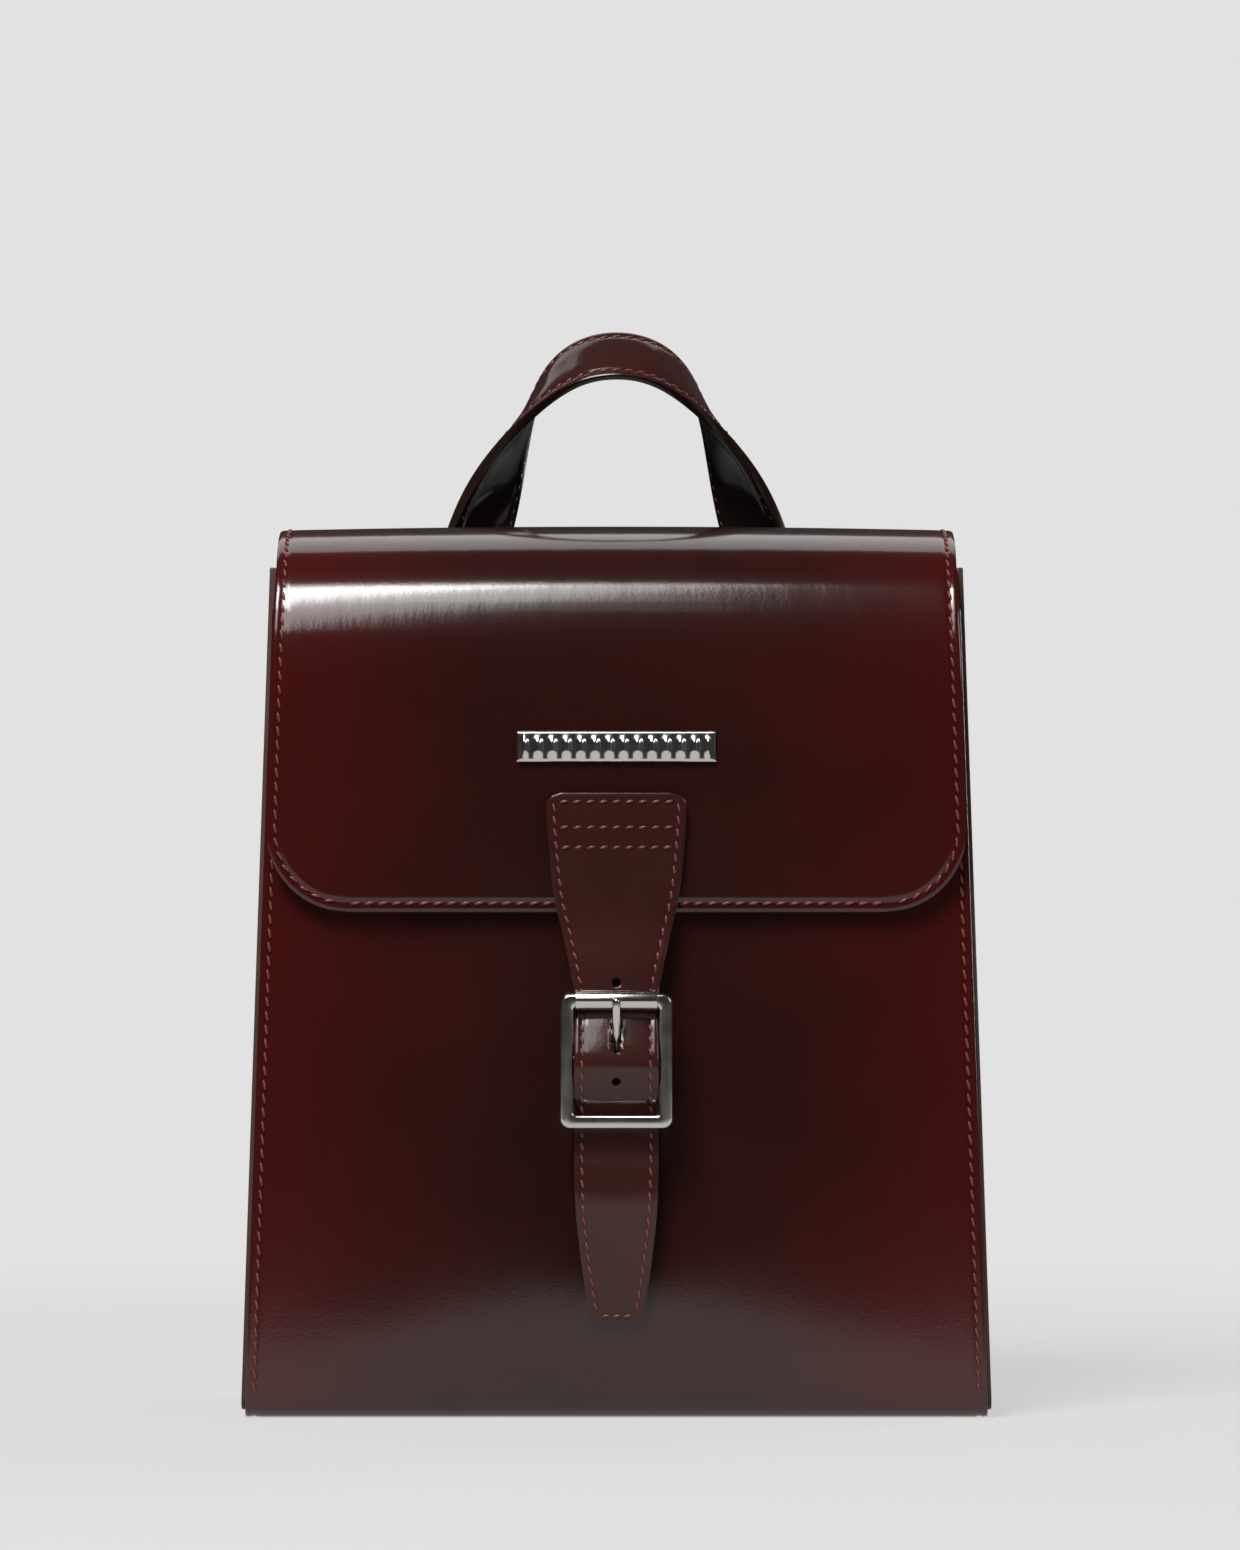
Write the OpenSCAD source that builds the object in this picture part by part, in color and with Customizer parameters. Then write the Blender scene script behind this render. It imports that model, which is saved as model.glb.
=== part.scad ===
// Small leather satchel: a stitched leather body with turned-out side seams, a curved flap, a
// buckled closure strap on a magnetic snap, a twisted top handle and rings for a carrying strap.
// Millimetres. +Z is up, -Y is the front, the origin is the middle of the underside.

/* [Body] */
// Width across the side seams at the base
base_w = 212; // [180:1:250]
// Width across the side seams at the mouth
mouth_w = 196; // [170:1:235]
// Depth of the body at the base
base_d = 90; // [76:1:110]
// Height of the mouth edge at the sides
mouth_z = 240; // [220:1:280]
// How much lower the mouth edge is at the front
front_drop = 12; // [8:0.5:18]
// How much lower the mouth edge is at the back
back_drop = 4; // [3:0.5:10]
// How far the front wall leans back by the mouth
front_lean = 6; // [3:0.5:10]
// How far the back wall leans forward by the mouth
back_lean = 6; // [0:0.5:8]
// Radius of the bends under the body
bend_r = 6; // [5:0.5:10]
// Thickness of the body leather
leather_t = 2; // [1.6:0.1:2.6]
// Thickness of the softer gusset leather
gusset_t = 1.6; // [1.2:0.1:2]
// Width of the turned-out side seams
seam_w = 6; // [4:0.5:9]

/* [Inside] */
// Thickness of the fabric lining
lining_t = 0.8; // [0.6:0.1:1.2]
// Thickness of the board that stiffens the base
board_t = 2.2; // [1.5:0.1:3]
// Width of the slip pocket
pocket_w = 120; // [90:1:140]
// Height of the slip pocket
pocket_h = 95; // [70:1:120]
// How far the slip pocket opens
pocket_gap = 6; // [5:0.5:12]

/* [Flap] */
// Height of the flap's top above the mouth
flap_rise = 10; // [7:0.5:16]
// Height of the flap's lower edge above the ground
flap_end_z = 142.5; // [130:0.5:155]
// Thickness of the flap's outer leather
flap_t = 1.4; // [1.2:0.1:2]
// How far the flap's fullest line stands off the front wall
flap_belly = 8; // [7:0.5:12]
// Outer radius of the flap's rear bend
flap_rear_r = 14; // [12:0.5:16]
// Radius of the flap's lower corners
flap_corner_r = 24; // [14:1:34]
// How far the flap's sides stand in from the side seams
flap_inset = 2; // [1:0.5:6]

/* [Closure strap] */
// Half width of the strap through the buckle
strap_half_w = 11.6; // [10:0.1:13]
// Half width of the strap's sewn head
head_half_w = 19.7; // [15:0.1:24]
// Thickness of the strap
strap_t = 2.2; // [1.8:0.1:2.6]
// Diameter of the strap's punched holes
strap_hole_d = 2.6; // [2:0.1:3]
// Distance between the punched holes
hole_pitch = 13.9; // [12:0.1:16]

/* [Buckle] */
// Height of the buckle's middle above the ground
buckle_z = 101; // [96:1:106]
// Distance between the top and bottom bars
buckle_h = 33.9; // [32:0.1:36]
// Thickness of the buckle's bars
bar_t = 3.8; // [3.2:0.1:4.2]
// Diameter of the roller
roller_d = 5.8; // [5:0.1:6]
// Diameter of the centre bar
centre_bar_d = 2.6; // [2.2:0.1:3]
// Thickness of the chape leather
chape_t = 1.2; // [1:0.1:1.4]

/* [Handle] */
// Width of the handle strap
handle_w = 20; // [16:0.5:24]
// Thickness of the handle strap
handle_t = 2.8; // [2.2:0.1:3.2]
// Height of the handle's middle line above its pivot
handle_h = 67.5; // [50:0.5:90]
// Distance from the middle to each handle foot
handle_foot_x = 44.5; // [38:0.5:48]

/* [Rings] */
// Thickness of the rings' wire
ring_wire_d = 2.8; // [2.4:0.1:3.4]
// Inner width of the rings
ring_inner_w = 18; // [15:0.5:22]
// Length of the rings' straight sides
ring_side = 4; // [3:0.5:8]
// Thickness of the tabs' leather
tab_t = 1.4; // [1.2:0.1:1.8]
// Distance from the middle to each upper ring
ring_upper_x = 26; // [20:1:40]
// Distance from the middle to each lower ring
ring_lower_x = 80; // [60:1:84]

/* [Hidden] */
$fn = 48;

gap = 0.1;          // between pieces that are sewn or pressed together
clear = 0.3;        // between pieces that move past each other
leather = [0.27, 0.04, 0.05];
leather_dark = [0.13, 0.05, 0.05];
nickel = [0.78, 0.77, 0.75];
cloth = [0.12, 0.10, 0.10];
card = [0.45, 0.36, 0.26];

// ---- Functions ----
function bez(p, t) = len(p) == 1 ? p[0] :
    bez([for (i = [0 : len(p) - 2]) p[i] * (1 - t) + p[i + 1] * t], t);
function unit(v) = v / norm(v);
function arc(c, r, a0, a1, n = 10) =
    [for (i = [0 : n]) c + r * [cos(a0 + (a1 - a0) * i / n), sin(a0 + (a1 - a0) * i / n)]];
// A smooth line through the points p, with n steps between each two.
function through(p, n = 6) = concat([for (i = [0 : len(p) - 2], k = [0 : n - 1])
    let (a = p[max(i - 1, 0)], b = p[i], c = p[i + 1], d = p[min(i + 2, len(p) - 1)], t = k / n)
    0.5 * (2 * b + (c - a) * t + (2 * a - 5 * b + 4 * c - d) * t * t
        + (3 * b - a - 3 * c + d) * t * t * t)], [p[len(p) - 1]]);
function tangent(p, i) = unit(p[min(i + 1, len(p) - 1)] - p[max(i - 1, 0)]);
// A line's points moved sideways by d, to the right of its direction.
function beside(p, d) = [for (i = [0 : len(p) - 1])
    let (t = tangent(p, i)) p[i] + d * [t.y, -t.x]];
// The outline of a sheet that follows a line, from d0 to d1 to the right of it.
function sheet(p, d0, d1) = concat(beside(p, d0), [for (q = [len(p) - 1 : -1 : 0])
    beside(p, d1)[q]]);

// ---- Body section ----
// The front wall stands upright at the base and leans back more and more towards the mouth.
front_power = 1.7;
function front_y(z) = -base_d / 2 + front_lean * pow(max(z, 0) / mouth_z, front_power);
function front_tilt(z) = atan(front_lean * front_power / mouth_z
    * pow(max(z, 0) / mouth_z, front_power - 1));
function back_y(z) = base_d / 2 - back_lean * z / mouth_z;
function half_w(z) = base_w / 2 - (base_w - mouth_w) / 2 * z / mouth_z;
back_a = atan(back_lean / mouth_z);
front_steps = 14;
// The body's closed section in Y and Z, everywhere moved in by d from the outer face.
function section(d) =
    let (r = bend_r - d, f = front_y(bend_r) + bend_r,
        b = back_y(0) - bend_r * (tan(back_a) + 1 / cos(back_a)))
    concat([for (i = [front_steps : -1 : 1])
            let (z = bend_r + (mouth_z - bend_r) * i / front_steps)
            [front_y(z) + d / cos(front_tilt(z)), z]],
        arc([f, bend_r], r, 180, 270),
        arc([b, bend_r], r, 270, 360 + back_a),
        [[back_y(mouth_z) - d / cos(back_a), mouth_z]]);
module along_x(w) rotate([90, 0, 90]) linear_extrude(w, center = true) children();
module along_y(d) rotate([90, 0, 0]) linear_extrude(d, center = true) children();
// Everything between the side seams, moved in by d at each side, from z0 to z1.
module between_seams(d, z0 = -1, z1 = mouth_z + 40)
    along_y(500) polygon([[-half_w(z0) + d, z0], [half_w(z0) - d, z0], [half_w(z1) - d, z1],
        [-half_w(z1) + d, z1]]);
wall_depth = 8;                            // of the front and back walls with their lining
// Everything below the mouth's edge, which dips at the front and the back, lowered by d.
module below_mouth(d = 0) along_x(2 * base_w) polygon([[-base_d, -1], [base_d, -1],
    [base_d, mouth_z - back_drop - d], [back_y(mouth_z) - wall_depth, mouth_z - back_drop - d],
    [back_y(mouth_z) - wall_depth - 2 * back_drop, mouth_z - d],
    [front_y(mouth_z) + wall_depth + 2 * front_drop, mouth_z - d],
    [front_y(mouth_z) + wall_depth, mouth_z - front_drop - d],
    [-base_d, mouth_z - front_drop - d]]);

under_t = leather_t + gap;                // what the gusset's flanges lie on
inner_t = under_t + gusset_t;             // the flanges' inner faces
lining_d = inner_t + 0.2;                 // the lining's outer face, clear of the snap's plate
back_seam_z = 16;                         // the front leather's turned-up edge at the back

module front_panel() color(leather) intersection() {
    difference() {
        along_x(base_w + 2) difference() {
            polygon(section(0));
            polygon(concat(section(leather_t), [[0, mouth_z + 1]]));
        }
        translate([-base_w, base_d / 4, back_seam_z]) cube([2 * base_w, base_d, mouth_z]);
    }
    between_seams(0);
    below_mouth();
}

// The back panel laps over the front leather's turned-up edge, then steps in to the gussets.
back_line = [[back_y(bend_r) + gap + leather_t, bend_r],
    [back_y(back_seam_z + 1) + gap + leather_t, back_seam_z + 1],
    [back_y(back_seam_z + 6), back_seam_z + 6], [back_y(mouth_z), mouth_z]];
module back_panel() color(leather) intersection() {
    along_x(base_w + 2) polygon(sheet(back_line, -leather_t, 0));
    between_seams(0);
    below_mouth();
}

// A side wall with its edges turned out, to be sewn along the front, the base and the back.
module gusset(side) color(leather_dark) difference() {
    intersection() {
        along_x(base_w + 2) polygon(section(under_t));
        between_seams(0.2);
        below_mouth();
        translate([side > 0 ? 0 : -base_w, -base_d, 0]) cube([base_w, 2 * base_d, mouth_z]);
    }
    between_seams(seam_w + gusset_t);
    difference() {
        along_x(base_w + 2) polygon(concat(section(inner_t), [[0, mouth_z + 1]]));
        between_seams(seam_w);
    }
}

// ---- Inside ----
inside_d = seam_w + gusset_t + 0.2;
board_z = inner_t + gap;
floor_z = board_z + board_t + gap;
module base_board() color(card) intersection() {
    along_x(base_w) polygon(section(lining_d));
    between_seams(inside_d);
    translate([-base_w / 2, -base_d / 2, board_z]) cube([base_w, base_d, board_t]);
}
// The lining is a bag of five cloths: front, back, two sides and a base.
module lining_block(d, z0) intersection() {
    along_x(base_w) polygon(section(lining_d + d));
    between_seams(inside_d + d);
    translate([-base_w / 2, -base_d, z0]) cube([base_w, 2 * base_d, mouth_z]);
    below_mouth(2);
}
module lining_wall() color(cloth) difference() {
    intersection() {
        lining_block(0, floor_z + lining_t + gap);
        children();
    }
    lining_block(lining_t, floor_z);
}
side_in = inside_d + lining_t;
module lining_front() lining_wall() intersection() {
    translate([-base_w, -base_d, 0]) cube([2 * base_w, base_d, mouth_z + 1]);
    between_seams(side_in + gap);
}
module lining_back() lining_wall() intersection() {
    translate([-base_w, 0, 0]) cube([2 * base_w, base_d, mouth_z + 1]);
    between_seams(side_in + gap);
}
module lining_side(side) lining_wall() difference() {
    translate([side > 0 ? 0 : -base_w, -base_d, 0]) cube([base_w, 2 * base_d, mouth_z + 1]);
    between_seams(side_in);
}
module lining_base() color(cloth) intersection() {
    lining_block(0, floor_z);
    translate([-base_w, -base_d, floor_z]) cube([2 * base_w, 2 * base_d, lining_t]);
}

pocket_top = mouth_z - 48;
pocket_t = 0.9;
pocket_edge = 5;
function wall_y(z) = back_y(z) - (lining_d + lining_t) / cos(back_a);
module pocket_slice(near, far, z0, z1) along_x(pocket_w) polygon([[wall_y(z0) - near, z0],
    [wall_y(z0) - far, z0], [wall_y(z1) - far, z1], [wall_y(z1) - near, z1]]);
module pocket_panel() color(leather_dark)
    pocket_slice(pocket_gap + 2 * gap, pocket_gap + pocket_t + 2 * gap,
        pocket_top - pocket_h, pocket_top);
module pocket_gusset() color(cloth) difference() {
    pocket_slice(gap, pocket_gap + gap, pocket_top - pocket_h, pocket_top);
    translate([-pocket_w / 2 + pocket_edge, 0, pocket_top - pocket_h + pocket_edge])
        cube([pocket_w - 2 * pocket_edge, base_d, pocket_h]);
}

// ---- Flap ----
top_z = mouth_z + flap_rise;
flap_drop = top_z - flap_end_z;
flap_full_t = flap_t + lining_t;
flap_stand = 4.6;                          // from the front wall to the flap's outer face, at its end
flap_end = [front_y(flap_end_z) - flap_stand, flap_end_z];
belly_z = flap_end_z + 0.535 * flap_drop;
belly = [front_y(belly_z) - flap_belly, belly_z];
rear_in = gap;                             // the flap's inner face behind the body's back line
rear_out = rear_in + flap_full_t;
flap_rear_c = [back_y(top_z - flap_rear_r) + rear_out - flap_rear_r, top_z - flap_rear_r];
hinge_a = 17;                              // the bend left open round the hinge, each side
flap_rear_z = mouth_z - 50;
hinge_r = flap_rear_r - flap_full_t / 2;
flap_hinge = flap_rear_c + hinge_r * [cos(45), sin(45)];

// The flap's outer face from the hinge over the top to its fullest line, and down to its end.
flap_over = [[flap_rear_c.x, top_z], belly + [12.6, top_z + 6 - belly_z],
    [belly.x, top_z - 10], belly];
flap_down_y = [belly.x, belly.x, 0.45 * belly.x + 0.55 * flap_end.x, flap_end.x];
function flap_y(z) = bez(flap_down_y, (belly_z - z) / (belly_z - flap_end_z));
flap_line = concat(arc(flap_rear_c, flap_rear_r, 45 + hinge_a, 90, 4),
    [for (i = [1 : 20]) bez(flap_over, i / 20)],
    [for (i = [1 : 8]) let (z = belly_z + (flap_end_z - belly_z) * i / 8) [flap_y(z), z]]);
module flap_outline() {
    w = half_w(flap_end_z) - flap_inset - flap_corner_r;
    c = flap_end_z + flap_corner_r;
    polygon(concat([[half_w(top_z) - flap_inset, top_z + 20]],
        [for (p = arc([w, c], flap_corner_r, 0, -90, 12)) p],
        [for (p = arc([-w, c], flap_corner_r, 270, 180, 12)) p],
        [[-half_w(top_z) + flap_inset, top_z + 20]]));
}
badge_z = flap_end_z + 0.4326 * flap_drop;
badge_w = 56;
badge_h = 8.6;
badge_t = 1.4;
badge_pin_x = 20;
badge_pin_d = 1.6;
badge_a = atan((flap_y(badge_z + badge_h / 2) - flap_y(badge_z - badge_h / 2)) / badge_h);
module flap_sheet(d0, d1) difference() {
    intersection() {
        along_x(base_w) polygon(sheet(flap_line, -d0, -d1));
        along_y(500) flap_outline();
    }
    for (s = [-1, 1]) translate([s * badge_pin_x, flap_y(badge_z), badge_z])
        rotate([90 - badge_a, 0, 0]) cylinder(d = badge_pin_d + gap, h = 20, center = true);
}
module flap() color(leather) flap_sheet(0, flap_t);
module flap_lining() color(cloth) flap_sheet(flap_t + 0.02, flap_full_t);
module flap_rear() color(leather) intersection() {
    along_x(base_w) polygon(sheet(concat([[back_y(flap_rear_z) + rear_out, flap_rear_z]],
        arc(flap_rear_c, flap_rear_r, 0, 45 - hinge_a, 4)), 0, -flap_full_t));
    between_seams(flap_inset);
}

// A polished bar with upright flutes, on two pins through the flap.
module badge() color(nickel) translate([0, flap_y(badge_z), badge_z]) rotate([-badge_a, 0, 0]) {
    translate([-badge_w / 2, -gap - badge_t, -badge_h / 2]) cube([badge_w, badge_t, badge_h]);
    for (x = [-24 : 4 : 24]) translate([x, -gap - badge_t, -badge_h / 2 + 1])
        cylinder(r = 1.3, h = badge_h - 2);
    for (s = [-1, 1]) translate([s * badge_pin_x, -gap - badge_t / 2, 0])
        rotate([-90, 0, 0]) cylinder(d = badge_pin_d, h = flap_full_t + badge_t / 2 + 1.4);
}
module badge_washers() color(nickel) translate([0, flap_y(badge_z), badge_z])
    rotate([-badge_a, 0, 0]) for (s = [-1, 1])
        translate([s * badge_pin_x, flap_full_t + 0.2, 0]) rotate([-90, 0, 0]) difference() {
            cylinder(d = 6, h = 0.6);
            translate([0, 0, -1]) cylinder(d = badge_pin_d + gap, h = 3);
        }

// ---- Closure strap ----
strap_top_z = flap_end_z + 0.3116 * flap_drop;
strap_tip_z = 27;
strap_joint_z = flap_end_z + 8;            // where the free length starts to bend
joint_half = 1.6;
top_bar_z = buckle_z + buckle_h / 2;
low_bar_z = buckle_z - buckle_h / 2;
snap_z = low_bar_z - 12;
snap_socket_t = 3.4;
snap_plate_t = 0.8;
// From the front wall at the snap: socket, stud plate, two plies of chape, then the strap.
stack = snap_socket_t + 2 * clear + snap_plate_t + 2 * chape_t + 5 * gap;
tail_y = front_y(snap_z) - stack - strap_t / 2;      // the strap's middle at the snap
frame_y = tail_y - roller_d / 2 - strap_t / 2 - 0.4;  // the buckle's plane
centre_y = frame_y + 2.4;                             // the centre bar stands behind it
crest_y = centre_y - centre_bar_d / 2 - chape_t - strap_t / 2 - 0.4;
head_y = -clear - 0.05 - strap_t / 2;
strap_line = through([[flap_y(strap_top_z) + head_y, strap_top_z],
    [flap_y((strap_top_z + flap_end_z) / 2) + head_y, (strap_top_z + flap_end_z) / 2],
    [flap_y(flap_end_z) + head_y - 0.2, flap_end_z - 1],
    [(flap_y(flap_end_z) + tail_y) / 2 - 1, (flap_end_z + top_bar_z) / 2 - 2],
    [tail_y, top_bar_z], [(tail_y + crest_y) / 2 - 0.4, buckle_z + buckle_h / 4],
    [crest_y, buckle_z + 1], [crest_y + 0.2, buckle_z - 4],
    [(tail_y + crest_y) / 2 - 0.8, buckle_z - buckle_h / 4 - 1],
    [tail_y - 1, low_bar_z + 3.5], [tail_y - 0.15, low_bar_z - 1], [tail_y, snap_z],
    [tail_y + 0.4, snap_z - 17], [front_y(strap_tip_z) - strap_t / 2 - 2, strap_tip_z]]);
// Half widths of the strap, from its head to its tip.
head_drop = strap_top_z - top_bar_z;
strap_side = through([[head_half_w - 0.6, strap_top_z], [head_half_w, strap_top_z - 4],
    [head_half_w - 0.6, strap_top_z - head_drop * 0.25],
    [(head_half_w + strap_half_w) / 2 + 1.9, strap_top_z - head_drop * 0.5],
    [(head_half_w + strap_half_w) / 2 - 0.7, strap_top_z - head_drop * 0.7],
    [strap_half_w + 1, strap_top_z - head_drop * 0.9], [strap_half_w, top_bar_z - 3],
    [strap_half_w, low_bar_z - 16], [strap_half_w - 1.4, 47], [strap_half_w - 4, 30],
    [strap_half_w - 4.4, strap_tip_z]], 4);
module strap_outline() polygon(concat(strap_side,
    [for (i = [len(strap_side) - 1 : -1 : 0]) [-strap_side[i].x, strap_side[i].y]]));
strap_hole_z = [for (k = [-1 : 1]) buckle_z + 8 + k * hole_pitch];
prong_d = 2.5;
slot_w = prong_d + 0.9;
slot_low = -5;                             // the prong's slot, from the middle hole's height
slot_high = 1.6;
module strap_body() difference() {
    intersection() {
        along_x(3 * head_half_w) polygon(sheet(strap_line, -strap_t / 2, strap_t / 2));
        along_y(500) strap_outline();
    }
    for (z = [strap_hole_z[0], strap_hole_z[2]]) translate([0, crest_y, z])
        rotate([90, 0, 0]) cylinder(d = strap_hole_d, h = 24, center = true);
    // the buckle's prong comes through a longer hole
    for (z = [slot_low, slot_high]) translate([0, crest_y, strap_hole_z[1] + z])
        rotate([90, 0, 0]) cylinder(d = slot_w, h = 24, center = true);
    translate([-slot_w / 2, crest_y - 12, strap_hole_z[1] + slot_low])
        cube([slot_w, 24, slot_high - slot_low]);
}
module strap_head() color(leather) intersection() {
    strap_body();
    translate([-50, -200, strap_joint_z + joint_half]) cube([100, 400, 100]);
}
module closure_strap() color(leather) difference() {
    strap_body();
    translate([-50, -200, strap_joint_z - joint_half]) cube([100, 400, 100]);
}

// ---- Buckle ----
frame_half_w = strap_half_w + 0.35 + bar_t;
bar_d = 3.4;
module rounded_frame(w, h, r) {
    polygon(concat(arc([w - r, h - r], r, 0, 90, 6), arc([-w + r, h - r], r, 90, 180, 6),
        arc([-w + r, -h + r], r, 180, 270, 6), arc([w - r, -h + r], r, 270, 360, 6)));
}
module buckle_frame() color(nickel) {
    half_h = buckle_h / 2 + bar_t / 2;
    difference() {
        translate([0, frame_y, buckle_z]) along_y(bar_t) difference() {
            rounded_frame(frame_half_w, half_h, 2.6);
            rounded_frame(frame_half_w - bar_t, half_h - bar_t, 0.8);
        }
        translate([-frame_half_w + bar_t, frame_y - bar_t, top_bar_z - bar_t])
            cube([2 * (frame_half_w - bar_t), 2 * bar_t, 2 * bar_t]);
    }
    translate([0, frame_y, top_bar_z]) rotate([0, 90, 0])
        cylinder(d = bar_d, h = 2 * frame_half_w - bar_t, center = true);
    translate([0, centre_y, buckle_z]) rotate([0, 90, 0])
        cylinder(d = centre_bar_d, h = 2 * frame_half_w - bar_t, center = true);
}
module buckle_roller() color(nickel) translate([0, frame_y, top_bar_z]) rotate([0, 90, 0])
    difference() {
        cylinder(d = roller_d, h = 2 * strap_half_w - 0.3, center = true);
        cylinder(d = bar_d + 0.2, h = 60, center = true);
    }
// The prong turns on the centre bar and its tip lies on the roller.
tip_y = frame_y - roller_d / 2 - prong_d / 2 - 0.05;
prong_rise = top_bar_z - buckle_z;
module prong_run(p, q, d0, d1) hull() {
    translate([0, p.x, p.y]) sphere(d = d0, $fn = 20);
    translate([0, q.x, q.y]) sphere(d = d1, $fn = 20);
}
module buckle_prong() color(nickel) {
    translate([0, centre_y, buckle_z]) rotate([0, 90, 0]) difference() {
        cylinder(d = centre_bar_d + 2.4, h = 3, center = true);
        cylinder(d = centre_bar_d + 0.16, h = 9, center = true);
    }
    difference() {
        union() {
            prong_run([centre_y - 0.6, buckle_z + 2.6], [centre_y - 2.2, buckle_z + 7.2],
                prong_d - 0.3, prong_d);
            prong_run([centre_y - 2.2, buckle_z + 7.2], [tip_y + 0.8, buckle_z + 11.4],
                prong_d, prong_d);
            prong_run([tip_y + 0.8, buckle_z + 11.4], [tip_y, buckle_z + prong_rise],
                prong_d, prong_d - 0.3);
        }
        translate([0, centre_y, buckle_z]) rotate([0, 90, 0])
            cylinder(d = centre_bar_d + 0.16, h = 9, center = true);
    }
}
// A short strap folded round the centre bar and slotted for the prong. It carries the snap.
chape_w = 2 * strap_half_w - 3.2;
chape_end_z = snap_z - 13;
ply = chape_t / 2;
chape_back_y = tail_y + strap_t / 2 + 2 * gap + chape_t + gap + ply;
chape_r = centre_bar_d / 2 + 0.05 + ply;
chape_front_y = chape_back_y - chape_t - gap;
chape_line = concat([[chape_front_y, chape_end_z], [chape_front_y, buckle_z - 13],
    [(chape_front_y + centre_y) / 2 + 0.4, buckle_z - 8],
    [centre_y + 0.8 - chape_r, buckle_z - 3.5]],
    arc([centre_y, buckle_z], chape_r, 180, 0, 12),
    [[chape_back_y - 0.5, buckle_z - 6.5], [chape_back_y, buckle_z - 10],
    [chape_back_y, chape_end_z]]);
module buckle_chape() color(leather_dark) difference() {
    along_x(chape_w) polygon(sheet(chape_line, -ply, ply));
    translate([-2.1, centre_y - 5, buckle_z - 6]) cube([4.2, 10, 12]);
}

// ---- Magnetic snap ----
snap_r = 8.5;
stud_r = 2.4;
stud_l = 1.8;
module on_front(z) translate([0, front_y(z), z]) rotate([90 - front_tilt(z), 0, 0])
    children();
module snap_socket() color(nickel) on_front(snap_z) difference() {
    translate([0, 0, gap]) cylinder(r = snap_r, h = snap_socket_t);
    translate([0, 0, gap + 0.8]) cylinder(r = stud_r + 0.9, h = snap_socket_t);
}
module snap_backplate() color(nickel) on_front(snap_z)
    translate([0, 0, -leather_t - gap - 0.6]) cylinder(r = snap_r, h = 0.6);
snap_face_y = front_y(snap_z) - snap_socket_t - gap;
module snap_stud() color(nickel) translate([0, snap_face_y - 2 * clear, snap_z])
    rotate([90, 0, 0]) {
        cylinder(r = snap_r, h = snap_plate_t - gap);
        translate([0, 0, -stud_l]) cylinder(r = stud_r, h = stud_l + 0.2);
    }

// ---- Handle ----
patch_half_w = 67;
patch_z0 = mouth_z - 42;
patch_z1 = mouth_z - 8;
patch_skin = 1.6;
function rear_y(z) = back_y(z) + rear_out;
handle_z = patch_z1 + 3;
handle_y = rear_y(handle_z) + gap + handle_t / 2 + 0.4;
handle_top = handle_z + handle_h;
handle_twist = -131;                      // the outer edge comes to the front at the top
foot_dir = unit([handle_foot_x - 32, 0, -42]);
handle_side = [[0, handle_y - 16, handle_top], [24, handle_y - 16, handle_top],
    [32.5, handle_y, handle_z + 42], [handle_foot_x, handle_y, handle_z]];
// The handle's middle line and its width direction, at t from -1 to 1. Its ends are cut level.
function handle_at(t) = let (p = bez(handle_side, abs(t))) [t < 0 ? -p.x : p.x, p.y, p.z];
function handle_wide(t) =
    let (a = handle_twist * pow(1 - t * t, 1.4),
        g = unit(bez(handle_side, min(abs(t) + 0.01, 1)) - bez(handle_side, abs(t) - 0.01)),
        up = unit([-g.z, 0, g.x * (1 - pow(abs(t), 8))]), out = unit(cross(up, g)),
        w = cos(a) * up + sin(a) * out)
    [t < 0 ? -w.x : w.x, w.y, w.z];
// A strap of w by t along middle points c, with its width along the directions u.
module strap_sweep(c, u, w, t) {
    n = len(c);
    up = [for (i = [0 : n - 1])
        unit(cross(unit(c[min(i + 1, n - 1)] - c[max(i - 1, 0)]), u[i]))];
    points = [for (i = [0 : n - 1], k = [[-1, -1], [1, -1], [1, 1], [-1, 1]])
        c[i] + u[i] * k.x * w / 2 + up[i] * k.y * t / 2];
    sides = [for (i = [0 : n - 2], k = [0 : 3])
        let (a = 4 * i + k, b = 4 * i + (k + 1) % 4) each [[a, b + 4, b], [a, a + 4, b + 4]]];
    polyhedron(points, concat([[0, 1, 2], [0, 2, 3]], sides,
        [[4 * n - 4, 4 * n - 2, 4 * n - 3], [4 * n - 4, 4 * n - 1, 4 * n - 2]]));
}
handle_steps = [for (i = [-20 : 20]) i / 20];
module handle_strap() color(leather) strap_sweep([for (t = handle_steps) handle_at(t)],
    [for (t = handle_steps) handle_wide(t)], handle_w, handle_t);
// A flat piece behind the flap's rear leather, from y0 to y1 off it, between heights z0 and z1.
module behind_flap(z0, z1, y0, y1) intersection() {
    along_y(500) children();
    along_x(500) polygon([[rear_y(z0) + y0, z0], [rear_y(z0) + y1, z0], [rear_y(z1) + y1, z1],
        [rear_y(z1) + y0, z1]]);
}
function foot_x(z) = handle_foot_x + (handle_z - z) * foot_dir.x / -foot_dir.z;
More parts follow.
